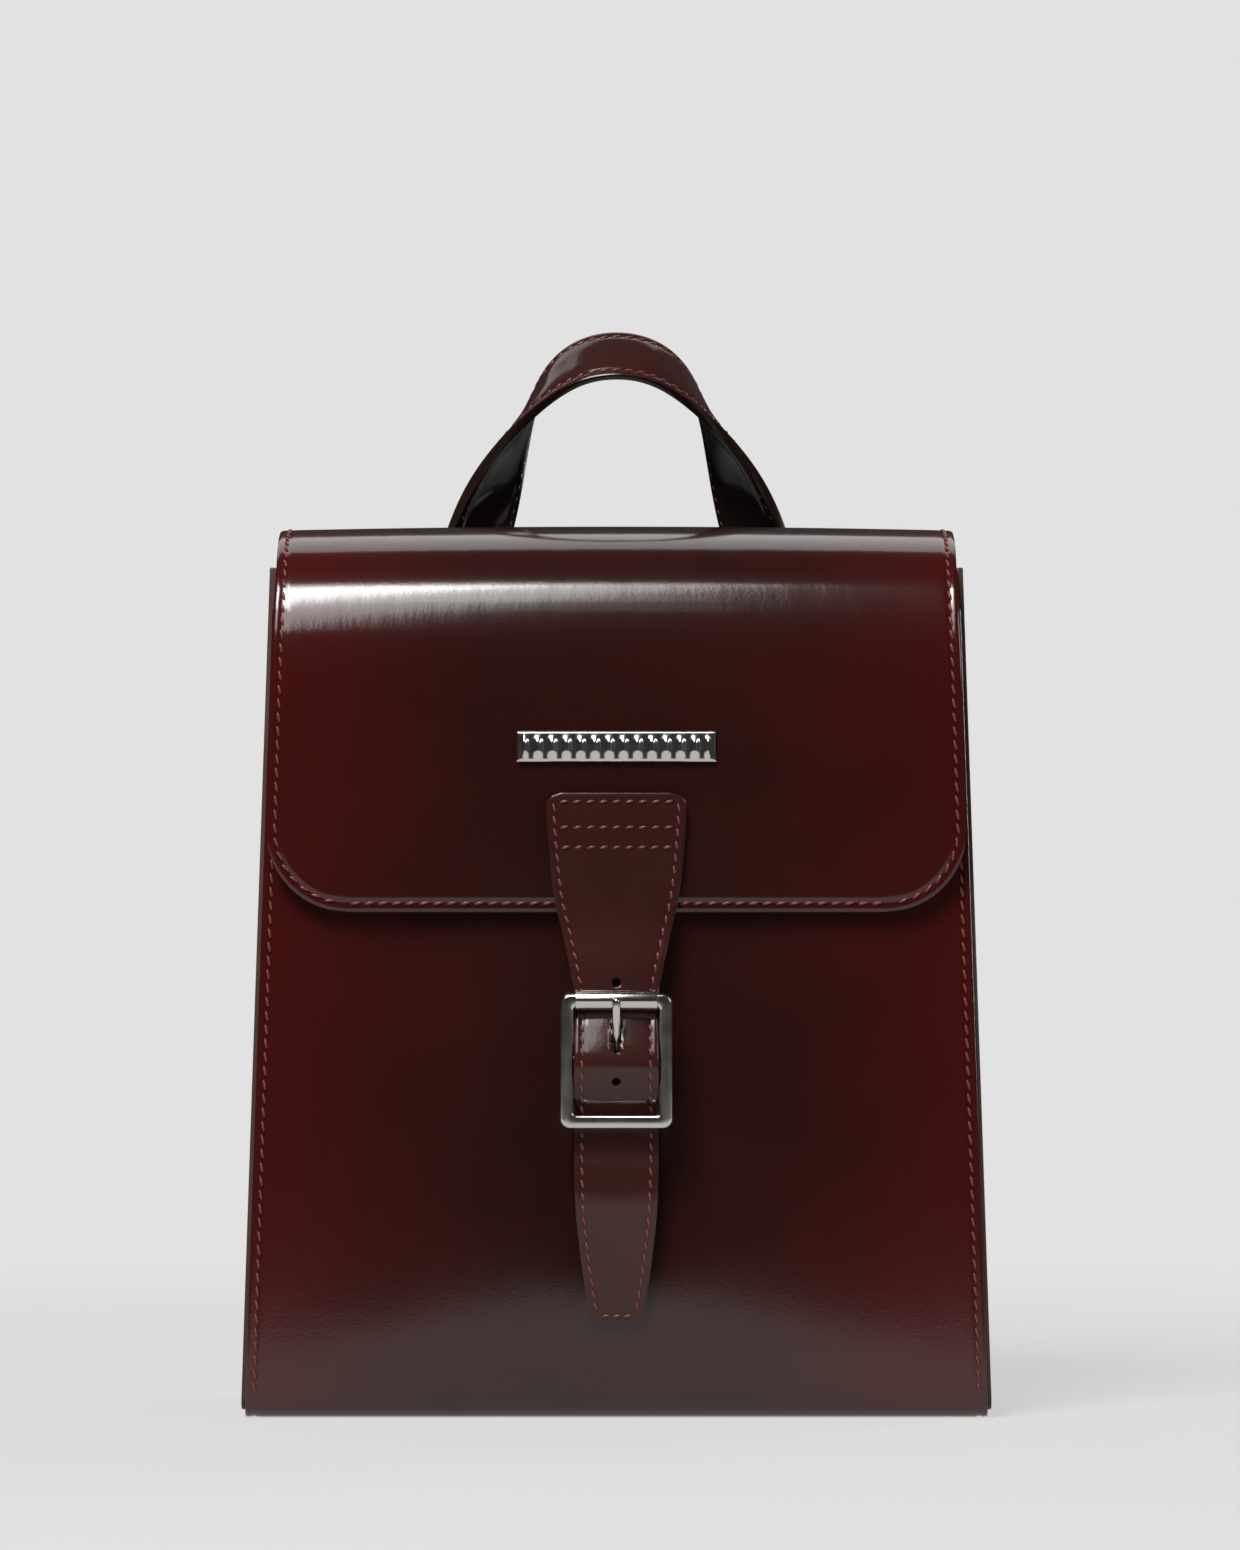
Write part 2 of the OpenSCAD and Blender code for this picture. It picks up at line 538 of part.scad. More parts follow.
// A sewn end of the handle, grown by d for the seat that the patch has for it.
module handle_end(side, d = 0) color(leather) mirror([side > 0 ? 0 : 1, 0, 0]) {
    z0 = patch_z0 + 6 - d;
    z1 = patch_z1 + 0.4 + 10 * d;
    half = handle_w / 2 + 0.5 + 1.2 * d;
    behind_flap(z0, z1, gap - d, gap + handle_t + d) polygon([[foot_x(z1) - half, z1],
        [foot_x(z1) + half, z1], [foot_x(z0) + half, z0], [foot_x(z0) - half, z0]]);
}
patch_corner_r = 8;
module handle_patch() color(leather) difference() {
    behind_flap(patch_z0, patch_z1, gap, gap + handle_t + gap + patch_skin)
        translate([0, (patch_z0 + patch_z1) / 2])
            rounded_frame(patch_half_w, (patch_z1 - patch_z0) / 2, patch_corner_r);
    for (s = [-1, 1]) handle_end(s, gap);
}

// ---- Rings and their tabs ----
ring_r = (ring_inner_w + ring_wire_d) / 2;
fold_r = ring_wire_d / 2 + clear;          // inside of a tab's fold
tab_w = ring_inner_w - 3;
tab_l = 19;
ring_upper_z = flap_rear_z - 26;
ring_lower_z = 44;
function ring_y(z) = back_y(z) + (fold_r + tab_t + gap) / cos(back_a);
tab_mid = fold_r + tab_t / 2;
tab_line = concat([[-tab_mid, tab_l]], arc([0, 0], tab_mid, 180, 360, 14),
    [[tab_mid - 0.8, 3.5], [-tab_mid + tab_t + gap, 9], [-tab_mid + tab_t + gap, tab_l]]);
module ring_tab(x, z) color(leather_dark) translate([x, ring_y(z), z]) rotate([back_a, 0, 0])
    along_x(tab_w) polygon(sheet(tab_line, -tab_t / 2, tab_t / 2));
module ring(x, z) color(nickel) translate([x, ring_y(z), z]) rotate([-90, 0, 0]) {
    translate([0, ring_side, 0]) rotate_extrude(angle = 180) translate([ring_r, 0])
        circle(d = ring_wire_d);
    for (s = [-1, 1]) translate([s * ring_r, 0, 0]) rotate([-90, 0, 0])
        cylinder(d = ring_wire_d, h = ring_side);
    rotate([0, 90, 0]) cylinder(d = ring_wire_d, h = 2 * ring_r, center = true);
    for (s = [-1, 1]) translate([s * ring_r, 0, 0]) sphere(d = ring_wire_d);
}

front_panel();
back_panel();
gusset(-1);  // gusset_left
gusset(1);  // gusset_right
base_board();
lining_front();
lining_back();
lining_side(-1);  // lining_left
lining_side(1);  // lining_right
lining_base();
pocket_panel();
pocket_gusset();
flap_rear();
handle_patch();
handle_end(-1);  // handle_end_left
handle_end(1);  // handle_end_right
snap_socket();
snap_backplate();
flap();
flap_lining();
badge();
badge_washers();
strap_head();
closure_strap();
buckle_chape();
buckle_frame();
buckle_roller();
buckle_prong();
snap_stud();
handle_strap();
ring_tab(-ring_upper_x, ring_upper_z);  // tab_upper_left
ring_tab(ring_upper_x, ring_upper_z);  // tab_upper_right
ring_tab(-ring_lower_x, ring_lower_z);  // tab_lower_left
ring_tab(ring_lower_x, ring_lower_z);  // tab_lower_right
ring(-ring_upper_x, ring_upper_z);  // ring_upper_left
ring(ring_upper_x, ring_upper_z);  // ring_upper_right
ring(-ring_lower_x, ring_lower_z);  // ring_lower_left
ring(ring_lower_x, ring_lower_z);  // ring_lower_right
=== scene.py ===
# A small upright leather satchel: stitched body, curved flap, buckled closure strap, twisted
# handle and four rings on its back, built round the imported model. Metres, +Z up, front at -Y.
import math

import bmesh
import bpy
from mathutils import Matrix, Vector


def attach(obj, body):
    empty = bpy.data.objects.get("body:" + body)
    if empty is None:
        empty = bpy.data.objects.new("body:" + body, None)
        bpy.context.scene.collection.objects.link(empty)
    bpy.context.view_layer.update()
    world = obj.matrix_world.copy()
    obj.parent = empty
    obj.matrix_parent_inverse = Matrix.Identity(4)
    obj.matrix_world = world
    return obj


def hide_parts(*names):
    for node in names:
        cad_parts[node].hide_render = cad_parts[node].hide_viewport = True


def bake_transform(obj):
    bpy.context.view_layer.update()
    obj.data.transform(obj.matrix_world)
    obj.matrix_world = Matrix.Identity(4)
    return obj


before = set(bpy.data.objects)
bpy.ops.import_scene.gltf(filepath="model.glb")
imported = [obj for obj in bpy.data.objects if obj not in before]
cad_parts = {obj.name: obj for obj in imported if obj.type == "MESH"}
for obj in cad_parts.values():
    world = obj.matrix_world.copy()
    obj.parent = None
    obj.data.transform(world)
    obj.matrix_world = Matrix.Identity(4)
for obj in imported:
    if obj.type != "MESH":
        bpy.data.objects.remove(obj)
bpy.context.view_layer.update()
MM = 0.001

# ---- Camera ----
# Level, straight in front of the bag, far off with a long lens.
camera_data = bpy.data.cameras.new("camera")
camera_data.sensor_width = 36
camera_data.lens = 185.8
camera_data.clip_end = 50
camera = bpy.data.objects.new("camera", camera_data)
camera.location = (0.001, -2.295, 0.181)
camera.rotation_euler = (math.radians(90), 0, 0)
bpy.context.scene.collection.objects.link(camera)
bpy.context.scene.camera = camera
bpy.context.scene.view_settings.view_transform = "Standard"

# ---- Studio ----
# A pale floor that runs into a pale background, and soft lights. What the leather mirrors is
# darker than what the camera sees: pale floor near the bag, a dark room beyond it.
PALE = (0.76, 0.76, 0.76, 1)


def feed(tree, node, inputs):
    """Gives each input of a node its value, or the output that feeds it."""
    for name, value in inputs.items():
        if isinstance(value, bpy.types.NodeSocket):
            tree.links.new(value, node.inputs[name])
        else:
            node.inputs[name].default_value = value
    return node


def add_node(tree, kind, inputs, **settings):
    node = tree.nodes.new(kind)
    for name, value in settings.items():
        setattr(node, name, value)
    return feed(tree, node, inputs)


def new_material(name):
    """A material, its node tree, and the output that gives a point's place on the object."""
    material = bpy.data.materials.new(name)
    material.use_nodes = True
    tree = material.node_tree
    return material, tree, add_node(tree, "ShaderNodeTexCoord", {}).outputs["Object"]


def grey(level):
    return (level, level, level, 1)


def mesh_from(bm, name):
    mesh = bpy.data.meshes.new(name)
    bm.to_mesh(mesh)
    bm.free()
    return mesh


world = bpy.data.worlds.new("room")
bpy.context.scene.world = world
world.use_nodes = True
tree = world.node_tree
seen = add_node(tree, "ShaderNodeBackground", {"Color": PALE})
unseen = add_node(tree, "ShaderNodeBackground", {"Color": (0.9, 0.93, 1.0, 1), "Strength": 0.03})
ray = add_node(tree, "ShaderNodeLightPath", {})
room = add_node(tree, "ShaderNodeMixShader", {
    0: ray.outputs["Is Camera Ray"], 1: unseen.outputs[0], 2: seen.outputs[0]})
feed(tree, tree.nodes["World Output"], {"Surface": room.outputs[0]})

floor_material, tree, spot = new_material("floor")
glow = add_node(tree, "ShaderNodeEmission", {"Color": PALE, "Strength": 0.72})
matt = add_node(tree, "ShaderNodeBsdfDiffuse", {"Color": grey(0.15)})
lit = add_node(tree, "ShaderNodeAddShader", {0: glow.outputs[0], 1: matt.outputs[0]})
plain = add_node(tree, "ShaderNodeEmission", {"Color": PALE})
reach = add_node(tree, "ShaderNodeVectorMath", {0: spot}, operation="LENGTH")
around = add_node(tree, "ShaderNodeMapRange", {
    "From Min": 0.25, "From Max": 0.75, "Value": reach.outputs["Value"]},
    interpolation_type="SMOOTHSTEP")
shade = add_node(tree, "ShaderNodeMixShader", {
    0: around.outputs["Result"], 1: lit.outputs[0], 2: plain.outputs[0]})
far_glow = add_node(tree, "ShaderNodeEmission", {"Color": grey(0.03)})
near = add_node(tree, "ShaderNodeMapRange", {
    "From Min": 0.5, "From Max": 1.1, "To Min": 1, "To Max": 0, "Value": reach.outputs["Value"]},
    interpolation_type="SMOOTHSTEP")
ray = add_node(tree, "ShaderNodeLightPath", {})
keep = add_node(tree, "ShaderNodeMath", {
    0: near.outputs["Result"], 1: ray.outputs["Is Camera Ray"]}, operation="MAXIMUM")
whole = add_node(tree, "ShaderNodeMixShader", {
    0: keep.outputs[0], 1: far_glow.outputs[0], 2: shade.outputs[0]})
feed(tree, tree.nodes["Material Output"], {"Surface": whole.outputs[0]})

bm = bmesh.new()
bmesh.ops.create_grid(bm, x_segments=1, y_segments=1, size=12)
floor_mesh = mesh_from(bm, "floor")
floor = bpy.data.objects.new("floor", floor_mesh)
floor_mesh.materials.append(floor_material)
bpy.context.scene.collection.objects.link(floor)


def soft_light(name, place, target, width, height, power):
    data = bpy.data.lights.new(name, "AREA")
    data.shape = "RECTANGLE"
    data.size = width
    data.size_y = height
    data.energy = power
    lamp = bpy.data.objects.new(name, data)
    lamp.location = place
    lamp.rotation_euler = (Vector(target) - Vector(place)).to_track_quat("-Z", "Y").to_euler()
    bpy.context.scene.collection.objects.link(lamp)


soft_light("key_light", (-0.52, -1.1, 1.75), (0, 0, 0.2), 0.76, 0.8, 30)
soft_light("soft_key_light", (-0.46, -1.22, 1.55), (0, 0, 0.2), 0.86, 1.35, 18)
soft_light("low_key_light", (-0.1, -1.15, 1.7), (0, 0, 0.2), 0.3, 0.6, 1.0)
soft_light("lower_key_light", (-0.08, -1.2, 1.6), (0, 0, 0.2), 0.34, 0.9, 0.7)
soft_light("top_light", (-0.1, 0.95, 1.25), (0, 0, 0.24), 1.5, 0.8, 5)
soft_light("side_light", (1.5, -1.2, 0.9), (0, 0, 0.12), 0.5, 0.9, 5)
soft_light("back_light", (1.3, 1.25, 0.38), (0, 0, 0.14), 0.6, 0.6, 22)

# ---- Front panel ----
# One piece of smooth, polished calf leather. It covers the front, bends under the base and
# turns up at the back. Its sides are sewn to the gussets' turned-out edges.
BASE_HALF_W = 106 * MM
MOUTH_HALF_W = 98 * MM
BASE_HALF_D = 45 * MM
MOUTH_Z = 240 * MM
FRONT_EDGE_Z = 228 * MM
BACK_EDGE_Z = 236 * MM
LEATHER_T = 2 * MM
BEND_R = 6 * MM
LEAN = 6 * MM
LEAN_POWER = 1.7
PANEL_INSET = 1.3 * MM
FRONT_WALL_Y = -20 * MM
SNAP_Z = 72 * MM
STITCH_PITCH = 3.9 * MM
STITCH_IN = 2.5 * MM


def half_w(z):
    return BASE_HALF_W - (BASE_HALF_W - MOUTH_HALF_W) * z / MOUTH_Z


def front_y(z):
    return -BASE_HALF_D + LEAN * (max(z, 0) / MOUTH_Z) ** LEAN_POWER


def back_y(z):
    return BASE_HALF_D - LEAN * z / MOUTH_Z


def smooth(share):
    share = min(max(share, 0), 1)
    return share * share * (3 - 2 * share)


def arc(centre, radius, first, last, steps):
    turns = [math.radians(first + (last - first) * i / steps) for i in range(steps + 1)]
    return [(centre[0] + radius * math.cos(a), centre[1] + radius * math.sin(a)) for a in turns]


def even(points, step):
    """The same line with its points a step apart."""
    points = [Vector(p) for p in points]
    lengths = [(b - a).length for a, b in zip(points, points[1:])]
    count = max(2, round(sum(lengths) / step))
    goals = [sum(lengths) * i / count for i in range(count + 1)]
    line = []
    start, i = 0, 0
    for goal in goals:
        while i < len(lengths) - 1 and start + lengths[i] < goal:
            start += lengths[i]
            i += 1
        share = (goal - start) / lengths[i] if lengths[i] else 0
        line.append(points[i].lerp(points[i + 1], min(max(share, 0), 1)))
    return line


def left_of(line):
    """For each point of a flat line, the direction square to it, on the left."""
    sides = []
    for i in range(len(line)):
        run = (line[min(i + 1, len(line) - 1)] - line[max(i - 1, 0)]).normalized()
        sides.append(Vector((-run.y, run.x)))
    return sides


def off_line(x, spot, side, out):
    """The point at x that is out from a flat line's spot, against its side direction."""
    return Vector((x, spot.x - side.x * out, spot.y - side.y * out))


def stitch_spot(x, spot, side, out):
    """The same point, and the way that the face looks there."""
    return off_line(x, spot, side, out), (0, -side.x, -side.y)


def stations(low, high, step, fine=0.6 * MM, edge=6 * MM):
    """Values from low to high, closer together near both ends."""
    count = round(edge / fine)
    first = [low + fine * i for i in range(count)]
    last = [high - fine * i for i in range(count)][::-1]
    middle_low, middle_high = low + fine * count, high - fine * count
    middle_count = max(2, round((middle_high - middle_low) / step))
    middle = [middle_low + (middle_high - middle_low) * i / middle_count
              for i in range(middle_count + 1)]
    return first + middle + last


def groove(distance, inset=STITCH_IN, depth=0.3 * MM):
    """How deep the thread pulls the leather in, and how far its edge is rounded off."""
    pull = depth * math.exp(-((distance - inset) / (0.7 * MM)) ** 2)
    return pull + 0.3 * MM * math.exp(-max(distance, 0) / (0.5 * MM))


def add_object(name, mesh, materials):
    piece = bpy.data.objects.new(name, mesh)
    for material in materials:
        mesh.materials.append(material)
    bpy.context.scene.collection.objects.link(piece)
    mesh.shade_smooth()
    return piece


def sheet_mesh(us, vs, place, outward, holes, cut):
    """A grid of points place(u, v). holes are round, (centre, radius) in the x-z plane, and
    faces whose middle cut() says yes to are left out."""
    bm = bmesh.new()
    bmesh.ops.create_grid(bm, x_segments=len(us) - 1, y_segments=len(vs) - 1, size=0.5)
    for vert in bm.verts:
        u = us[round((vert.co.x + 0.5) * (len(us) - 1))]
        v = vs[round((vert.co.y + 0.5) * (len(vs) - 1))]
        vert.co = place(u, v)
    for (x, z), radius in holes:
        flat = [f for f in bm.faces
                if math.hypot(f.calc_center_median().x - x, f.calc_center_median().z - z) < radius]
        bmesh.ops.delete(bm, geom=flat, context="FACES")
        for vert in bm.verts:
            across = Vector((vert.co.x - x, 0, vert.co.z - z))
            if vert.is_boundary and across.length < 1.6 * radius:
                vert.co += across.normalized() * (radius - across.length)
    if cut:
        gone = [f for f in bm.faces if cut(f.calc_center_median())]
        bmesh.ops.delete(bm, geom=gone, context="FACES")
    bmesh.ops.remove_doubles(bm, verts=bm.verts, dist=0.02 * MM)
    bm.faces.ensure_lookup_table()
    middle = min(bm.faces, key=lambda f: (f.calc_center_median() - Vector(outward[0])).length)
    middle.normal_update()
    if middle.normal.dot(Vector(outward[1])) < 0:
        bmesh.ops.reverse_faces(bm, faces=bm.faces)
    return bm


def sheet_piece(name, us, vs, place, outward, thickness, materials, holes=(), cut=None,
                bevel=0.35 * MM):
    """A leather or cloth sheet. Its outer face is place(u, v), near the point outward[0] it
    faces outward[1], and it is thickened inwards. Materials: face, edge, inner face."""
    bm = sheet_mesh(us, vs, place, outward, holes, cut)
    piece = add_object(name, mesh_from(bm, name), materials)
    solid = piece.modifiers.new("thickness", "SOLIDIFY")
    solid.thickness = thickness
    solid.offset = -1
    solid.material_offset_rim = 1
    solid.material_offset = 2
    if bevel:
        edge = piece.modifiers.new("edges", "BEVEL")
        edge.width = bevel
        edge.segments = 2
        edge.limit_method = "ANGLE"
        edge.angle_limit = math.radians(50)
    return piece


def stitches(name, rows, material, pitch=STITCH_PITCH, length=3.1 * MM, radius=0.46 * MM, lean=14):
    """Rows of thread: each row is a list of (point, normal), and each stitch leans a little."""
    bm = bmesh.new()
    for row in rows:
        points = [Vector(p) for p, n in row]
        normals = [Vector(n).normalized() for p, n in row]
        lengths = [(b - a).length for a, b in zip(points, points[1:])]
        count = max(1, round(sum(lengths) / pitch))
        start, i = 0, 0
        for k in range(count):
            goal = sum(lengths) * (k + 0.5) / count
            while i < len(lengths) - 1 and start + lengths[i] < goal:
                start += lengths[i]
                i += 1
            share = (goal - start) / lengths[i]
            spot = points[i].lerp(points[i + 1], share)
            normal = normals[i].lerp(normals[i + 1], share).normalized()
            run = (points[i + 1] - points[i]).normalized()
            run = Matrix.Rotation(math.radians(lean), 3, normal) @ run
            side = normal.cross(run).normalized()
            run = side.cross(normal)
            turn = Matrix((run * length / 2, side * radius, normal * radius)).transposed()
            bmesh.ops.create_uvsphere(bm, u_segments=6, v_segments=4, radius=1,
                                      matrix=Matrix.Translation(spot) @ turn.to_4x4()
                                      @ Matrix.Rotation(math.radians(90), 4, "Y"))
    return add_object(name, mesh_from(bm, name), [material])


PORE_SIZE = 0.9 * MM


def leather_material(name, dark, light, roughness, coat, grain=0.10, sides=None):
    """Polished leather: two colours in soft clouds, fine pores, faint upright creases and a
    clear finish on top. sides is a painted sheen: a redder, lighter colour that it turns to away
    from the middle, for the light that the curved sides catch."""
    material, tree, spot = new_material(name)
    clouds = add_node(tree, "ShaderNodeTexNoise", {"Scale": 16, "Detail": 5, "Vector": spot})
    patches = clouds.outputs["Fac"]
    ramp = add_node(tree, "ShaderNodeValToRGB", {"Fac": patches})
    for stop, position, tone in zip(ramp.color_ramp.elements, (0.35, 0.68), (dark, light)):
        stop.position = position
        stop.color = (*tone, 1)
    colour = ramp.outputs["Color"]
    # Painted sheen: towards both sides the colour turns redder and lighter, in uneven patches,
    # standing in for the light that the curved sides catch.
    if sides:
        split = add_node(tree, "ShaderNodeSeparateXYZ", {0: spot})
        away = add_node(tree, "ShaderNodeMath", {0: split.outputs["X"]}, operation="ABSOLUTE")
        side_sheen_patches = add_node(tree, "ShaderNodeMath", {
            0: patches, 1: 0.05, 2: away.outputs[0]}, operation="MULTIPLY_ADD")
        outer = add_node(tree, "ShaderNodeMapRange", {
            "From Min": 0.055, "From Max": 0.13, "Value": side_sheen_patches.outputs[0]},
            interpolation_type="SMOOTHSTEP")
        side_sheen_mix = add_node(tree, "ShaderNodeMix", {
            "Factor": outer.outputs["Result"], "A": colour, "B": (*sides, 1)}, data_type="RGBA")
        colour = side_sheen_mix.outputs["Result"]
    rough = add_node(tree, "ShaderNodeMapRange", {
        "To Min": roughness * 0.85, "To Max": roughness * 1.2, "Value": patches})
    pores = add_node(tree, "ShaderNodeTexVoronoi", {"Scale": 1 / PORE_SIZE, "Vector": spot})
    stretch = add_node(tree, "ShaderNodeMapping", {"Scale": (1, 1, 0.22), "Vector": spot})
    creases = add_node(tree, "ShaderNodeTexNoise", {
        "Scale": 150, "Detail": 4, "Vector": stretch.outputs["Vector"]})
    height = add_node(tree, "ShaderNodeMath", {
        0: pores.outputs["Distance"], 1: 0.10, 2: creases.outputs["Fac"]},
        operation="MULTIPLY_ADD")
    bump = add_node(tree, "ShaderNodeBump", {
        "Strength": grain, "Distance": 0.5 * MM, "Height": height.outputs[0]})
    feed(tree, tree.nodes["Principled BSDF"], {
        "Base Color": colour, "Roughness": rough.outputs["Result"],
        "Normal": bump.outputs["Normal"], "Coat Normal": bump.outputs["Normal"],
        "Specular IOR Level": 0.03, "Coat Weight": coat, "Coat Roughness": 0.12,
        "Coat IOR": 1.55})
    return material


# The body's leather, with a painted sheen towards its sides.
red_leather = leather_material("polished_leather", (0.0165, 0.0030, 0.0018), (0.027, 0.0040, 0.0026),
                               0.5, 1.0, sides=(0.045, 0.0030, 0.002))
strap_leather = leather_material("strap_leather", (0.030, 0.0082, 0.0060),
                                 (0.043, 0.0110, 0.0082), 0.5, 0.65)
dark_leather = leather_material("dark_leather", (0.022, 0.0050, 0.0038), (0.034, 0.0068, 0.0050),
                                0.5, 0.35, 0.18)
flesh_side = leather_material("leather_inner_side", (0.004, 0.0025, 0.002), (0.007, 0.004, 0.0035),
                              0.5, 0.3, 0.2)
edge_paint = leather_material("painted_edge", (0.05, 0.030, 0.024), (0.085, 0.055, 0.045),
                              0.45, 0.2, 0.15)
# A darker copy of the edge paint for the handle's edges: partly their darker paint, partly painted
# shade that keeps those edges from looking lit.
handle_edge_paint_and_shade = leather_material("handle_edge_paint_and_painted_shade", (0.016, 0.008, 0.006),
                                   (0.026, 0.013, 0.011), 0.45, 0.2, 0.15)
red_sheet = [red_leather, edge_paint, flesh_side]
dark_sheet = [dark_leather, edge_paint, flesh_side]


def thread_material(name, colour):
    """Waxed thread: two plies twisted together."""
    material, tree, spot = new_material(name)
    twist = add_node(tree, "ShaderNodeTexNoise", {"Scale": 2600, "Vector": spot})
    bump = add_node(tree, "ShaderNodeBump", {
        "Strength": 0.3, "Distance": 0.1 * MM, "Height": twist.outputs["Fac"]})
    feed(tree, tree.nodes["Principled BSDF"], {
        "Base Color": (*colour, 1), "Roughness": 0.34, "Normal": bump.outputs["Normal"]})
    return material


thread = thread_material("red_thread", (0.15, 0.03, 0.028))

front_section = even(
    [(front_y(z * MM), z * MM) for z in range(228, 6, -6)]
    + arc((-BASE_HALF_D + BEND_R, BEND_R), BEND_R, 180, 270, 12)
    + arc((BASE_HALF_D - BEND_R, BEND_R), BEND_R, 270, 360, 12)
    + [(back_y(16 * MM), 16 * MM)], 2.2 * MM)
front_sides = left_of(front_section)


def belly(x, spot):
    """The front is a little full low down, more in the middle, and is held in at the snap."""
    z = spot.y
    if spot.x >= FRONT_WALL_Y or z <= 0:
        return 0
    middle = smooth(1 - abs(x) / half_w(z))
    peak = (14 + 29 * middle) * MM
    fullness = (0.3 + 1.5 * middle) * MM * z / peak * math.exp(1 - z / peak)
    near_snap = math.exp(-((x * x + (z - SNAP_Z) ** 2) / (18 * MM) ** 2))
    return fullness * (1 - near_snap) * smooth(z / (8 * MM))


def place_front(u, v):
    spot, side = front_section[v], front_sides[v]
    half = half_w(spot.y) - PANEL_INSET
    x = u / BASE_HALF_W * half
    return off_line(x, spot, side, belly(x, spot) - groove(half - abs(x)))


front_us = stations(-BASE_HALF_W, BASE_HALF_W, 3 * MM)
front_panel = sheet_piece("front_panel_leather", front_us, range(len(front_section)), place_front,
                          ((0, -0.045, 0.1), (0, -1, 0)), LEATHER_T, red_sheet)
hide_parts("front_panel")
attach(front_panel, "root")


def seam_rows(section, sides, low, high):
    """Stitch rows along both side edges of a body section."""
    rows = []
    for s in (-1, 1):
        row = []
        for spot, side in zip(section, sides):
            if low < spot.y < high:
                x = s * (half_w(spot.y) - PANEL_INSET - STITCH_IN)
                row.append(stitch_spot(x, spot, side, 0.12 * MM + belly(x, spot)))
        rows.append(row)
    return rows


front_wall = [(p, s) for p, s in zip(front_section, front_sides) if p.x < 0]
front_rows = seam_rows([p for p, s in front_wall], [s for p, s in front_wall],
                       5 * MM, FRONT_EDGE_Z - 3 * MM)
front_stitches = stitches("front_panel_stitches", front_rows, thread)
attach(front_stitches, "root")

# ---- Gussets ----
# The side walls. Each is one soft piece whose edges turn out to be sewn along the front, the
# base and the back, so a thin painted edge shows beside the panels.
GUSSET_T = 1.6 * MM
FLANGE_D = 3.7 * MM
SEAM_W = 6 * MM
SPINE_Z = 48 * MM
SLOPE_Z = 200 * MM
EAR_H = 11.5 * MM
FOLD_R = 1.5 * MM
# The front and the back edge have the same number of heights above the spine's foot, so the two
# halves of the side wall meet point to point.
front_heights = [200 + 28 * k / 9 for k in range(9, 0, -1)] + list(range(200, 7, -4))
gusset_points = ([(front_y(z * MM) + FLANGE_D, z * MM) for z in front_heights]
                 + arc((-BASE_HALF_D + BEND_R, BEND_R), BEND_R - FLANGE_D, 180, 270, 6)
                 + [(y * MM, FLANGE_D) for y in range(-35, 36, 5)]
                 + arc((BASE_HALF_D - BEND_R, BEND_R), BEND_R - FLANGE_D, 270, 360, 6)
                 + [(back_y(z * MM) - FLANGE_D, z * MM) for z in range(8, 237, 4)])
gusset_section = [Vector(p) for p in gusset_points]
gusset_sides = left_of(gusset_section)
fold_turns = [math.radians(90 * i / 5) for i in range(6)]
# Across the sheet: how far in from the body's side, how deep from the seam, and the share of
# the way to the wall's middle.
across_gusset = [(0.2 * MM + (SEAM_W - FOLD_R - 0.2 * MM) * i / 5, 0, 0) for i in range(6)]
across_gusset += [(SEAM_W - FOLD_R + FOLD_R * math.sin(a), FOLD_R * (1 - math.cos(a)), 0)
                  for a in fold_turns[1:]]
across_gusset += [(SEAM_W, FOLD_R, i / 14) for i in range(1, 15)]


def mouth_line(y):
    """Height of the mouth's edge at a depth y."""
    front = smooth((y + 0.036) / 0.024)
    back = smooth((0.036 - y) / 0.012)
    return (FRONT_EDGE_Z + (MOUTH_Z - FRONT_EDGE_Z) * front
            - (MOUTH_Z - BACK_EDGE_Z) * (1 - back))


def side_sag(share, z):
    """How far a side wall sinks in, most of all in its middle and near the mouth."""
    return 1.1 * MM * smooth(share) * (0.4 + 0.6 * smooth((z - 0.02) / 0.2))


def place_gusset(side):
    def place(u, v):
        inset, depth, share = across_gusset[u]
        spot, normal = gusset_section[v], gusset_sides[v]
        y = spot.x + normal.x * depth
        z = spot.y + normal.y * depth
        middle_z = max(spot.y, SPINE_Z)
        if spot.y > SLOPE_Z:
            edge_z = FRONT_EDGE_Z if spot.x < 0 else BACK_EDGE_Z
            middle_z = SLOPE_Z + (spot.y - SLOPE_Z) * (MOUTH_Z - SLOPE_Z) / (edge_z - SLOPE_Z)
        y = y * (1 - share)
        z = z * (1 - share) + middle_z * share
        if spot.x < 0:
            ear = smooth((z - SLOPE_Z) / (FRONT_EDGE_Z - SLOPE_Z))
            z += EAR_H * ear * smooth((SEAM_W - inset) / (4.2 * MM))
        return Vector((side * (half_w(z) - inset - side_sag(share, z)), y, z))
    return place


gussets = []
for side, name in ((-1, "left"), (1, "right")):
    gusset = sheet_piece("gusset_" + name + "_leather", range(len(across_gusset)),
                         range(len(gusset_section)), place_gusset(side),
                         ((side * 0.095, 0, 0.12), (side, 0, 0)), GUSSET_T,
                         [dark_leather, edge_paint, edge_paint])
    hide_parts("gusset_" + name)
    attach(gusset, "root")
    gussets.append(gusset)

# ---- Back panel ----
# Lined up with the front panel, which it overlaps low down, and sewn to it and to the gussets.
back_line = even([(back_y(6 * MM) + 2.1 * MM, 6 * MM), (back_y(17 * MM) + 2.1 * MM, 17 * MM),
                  (back_y(19 * MM) + 1.4 * MM, 19.5 * MM), (back_y(22 * MM), 22 * MM),
                  (back_y(BACK_EDGE_Z), BACK_EDGE_Z)], 2.5 * MM)
back_line = [Vector((p.x, p.y)) for p in back_line]
back_sides = left_of(back_line)


def place_back(u, v):
    spot, side = back_line[v], back_sides[v]
    half = half_w(spot.y) - PANEL_INSET
    x = u / BASE_HALF_W * half
    edge = min(half - abs(x), spot.y - back_line[0].y)
    out = -groove(edge) + 0.8 * MM * smooth(1 - abs(x) / half) * math.exp(-abs(spot.y - 0.06) / 0.05)
    return off_line(x, spot, side, out)


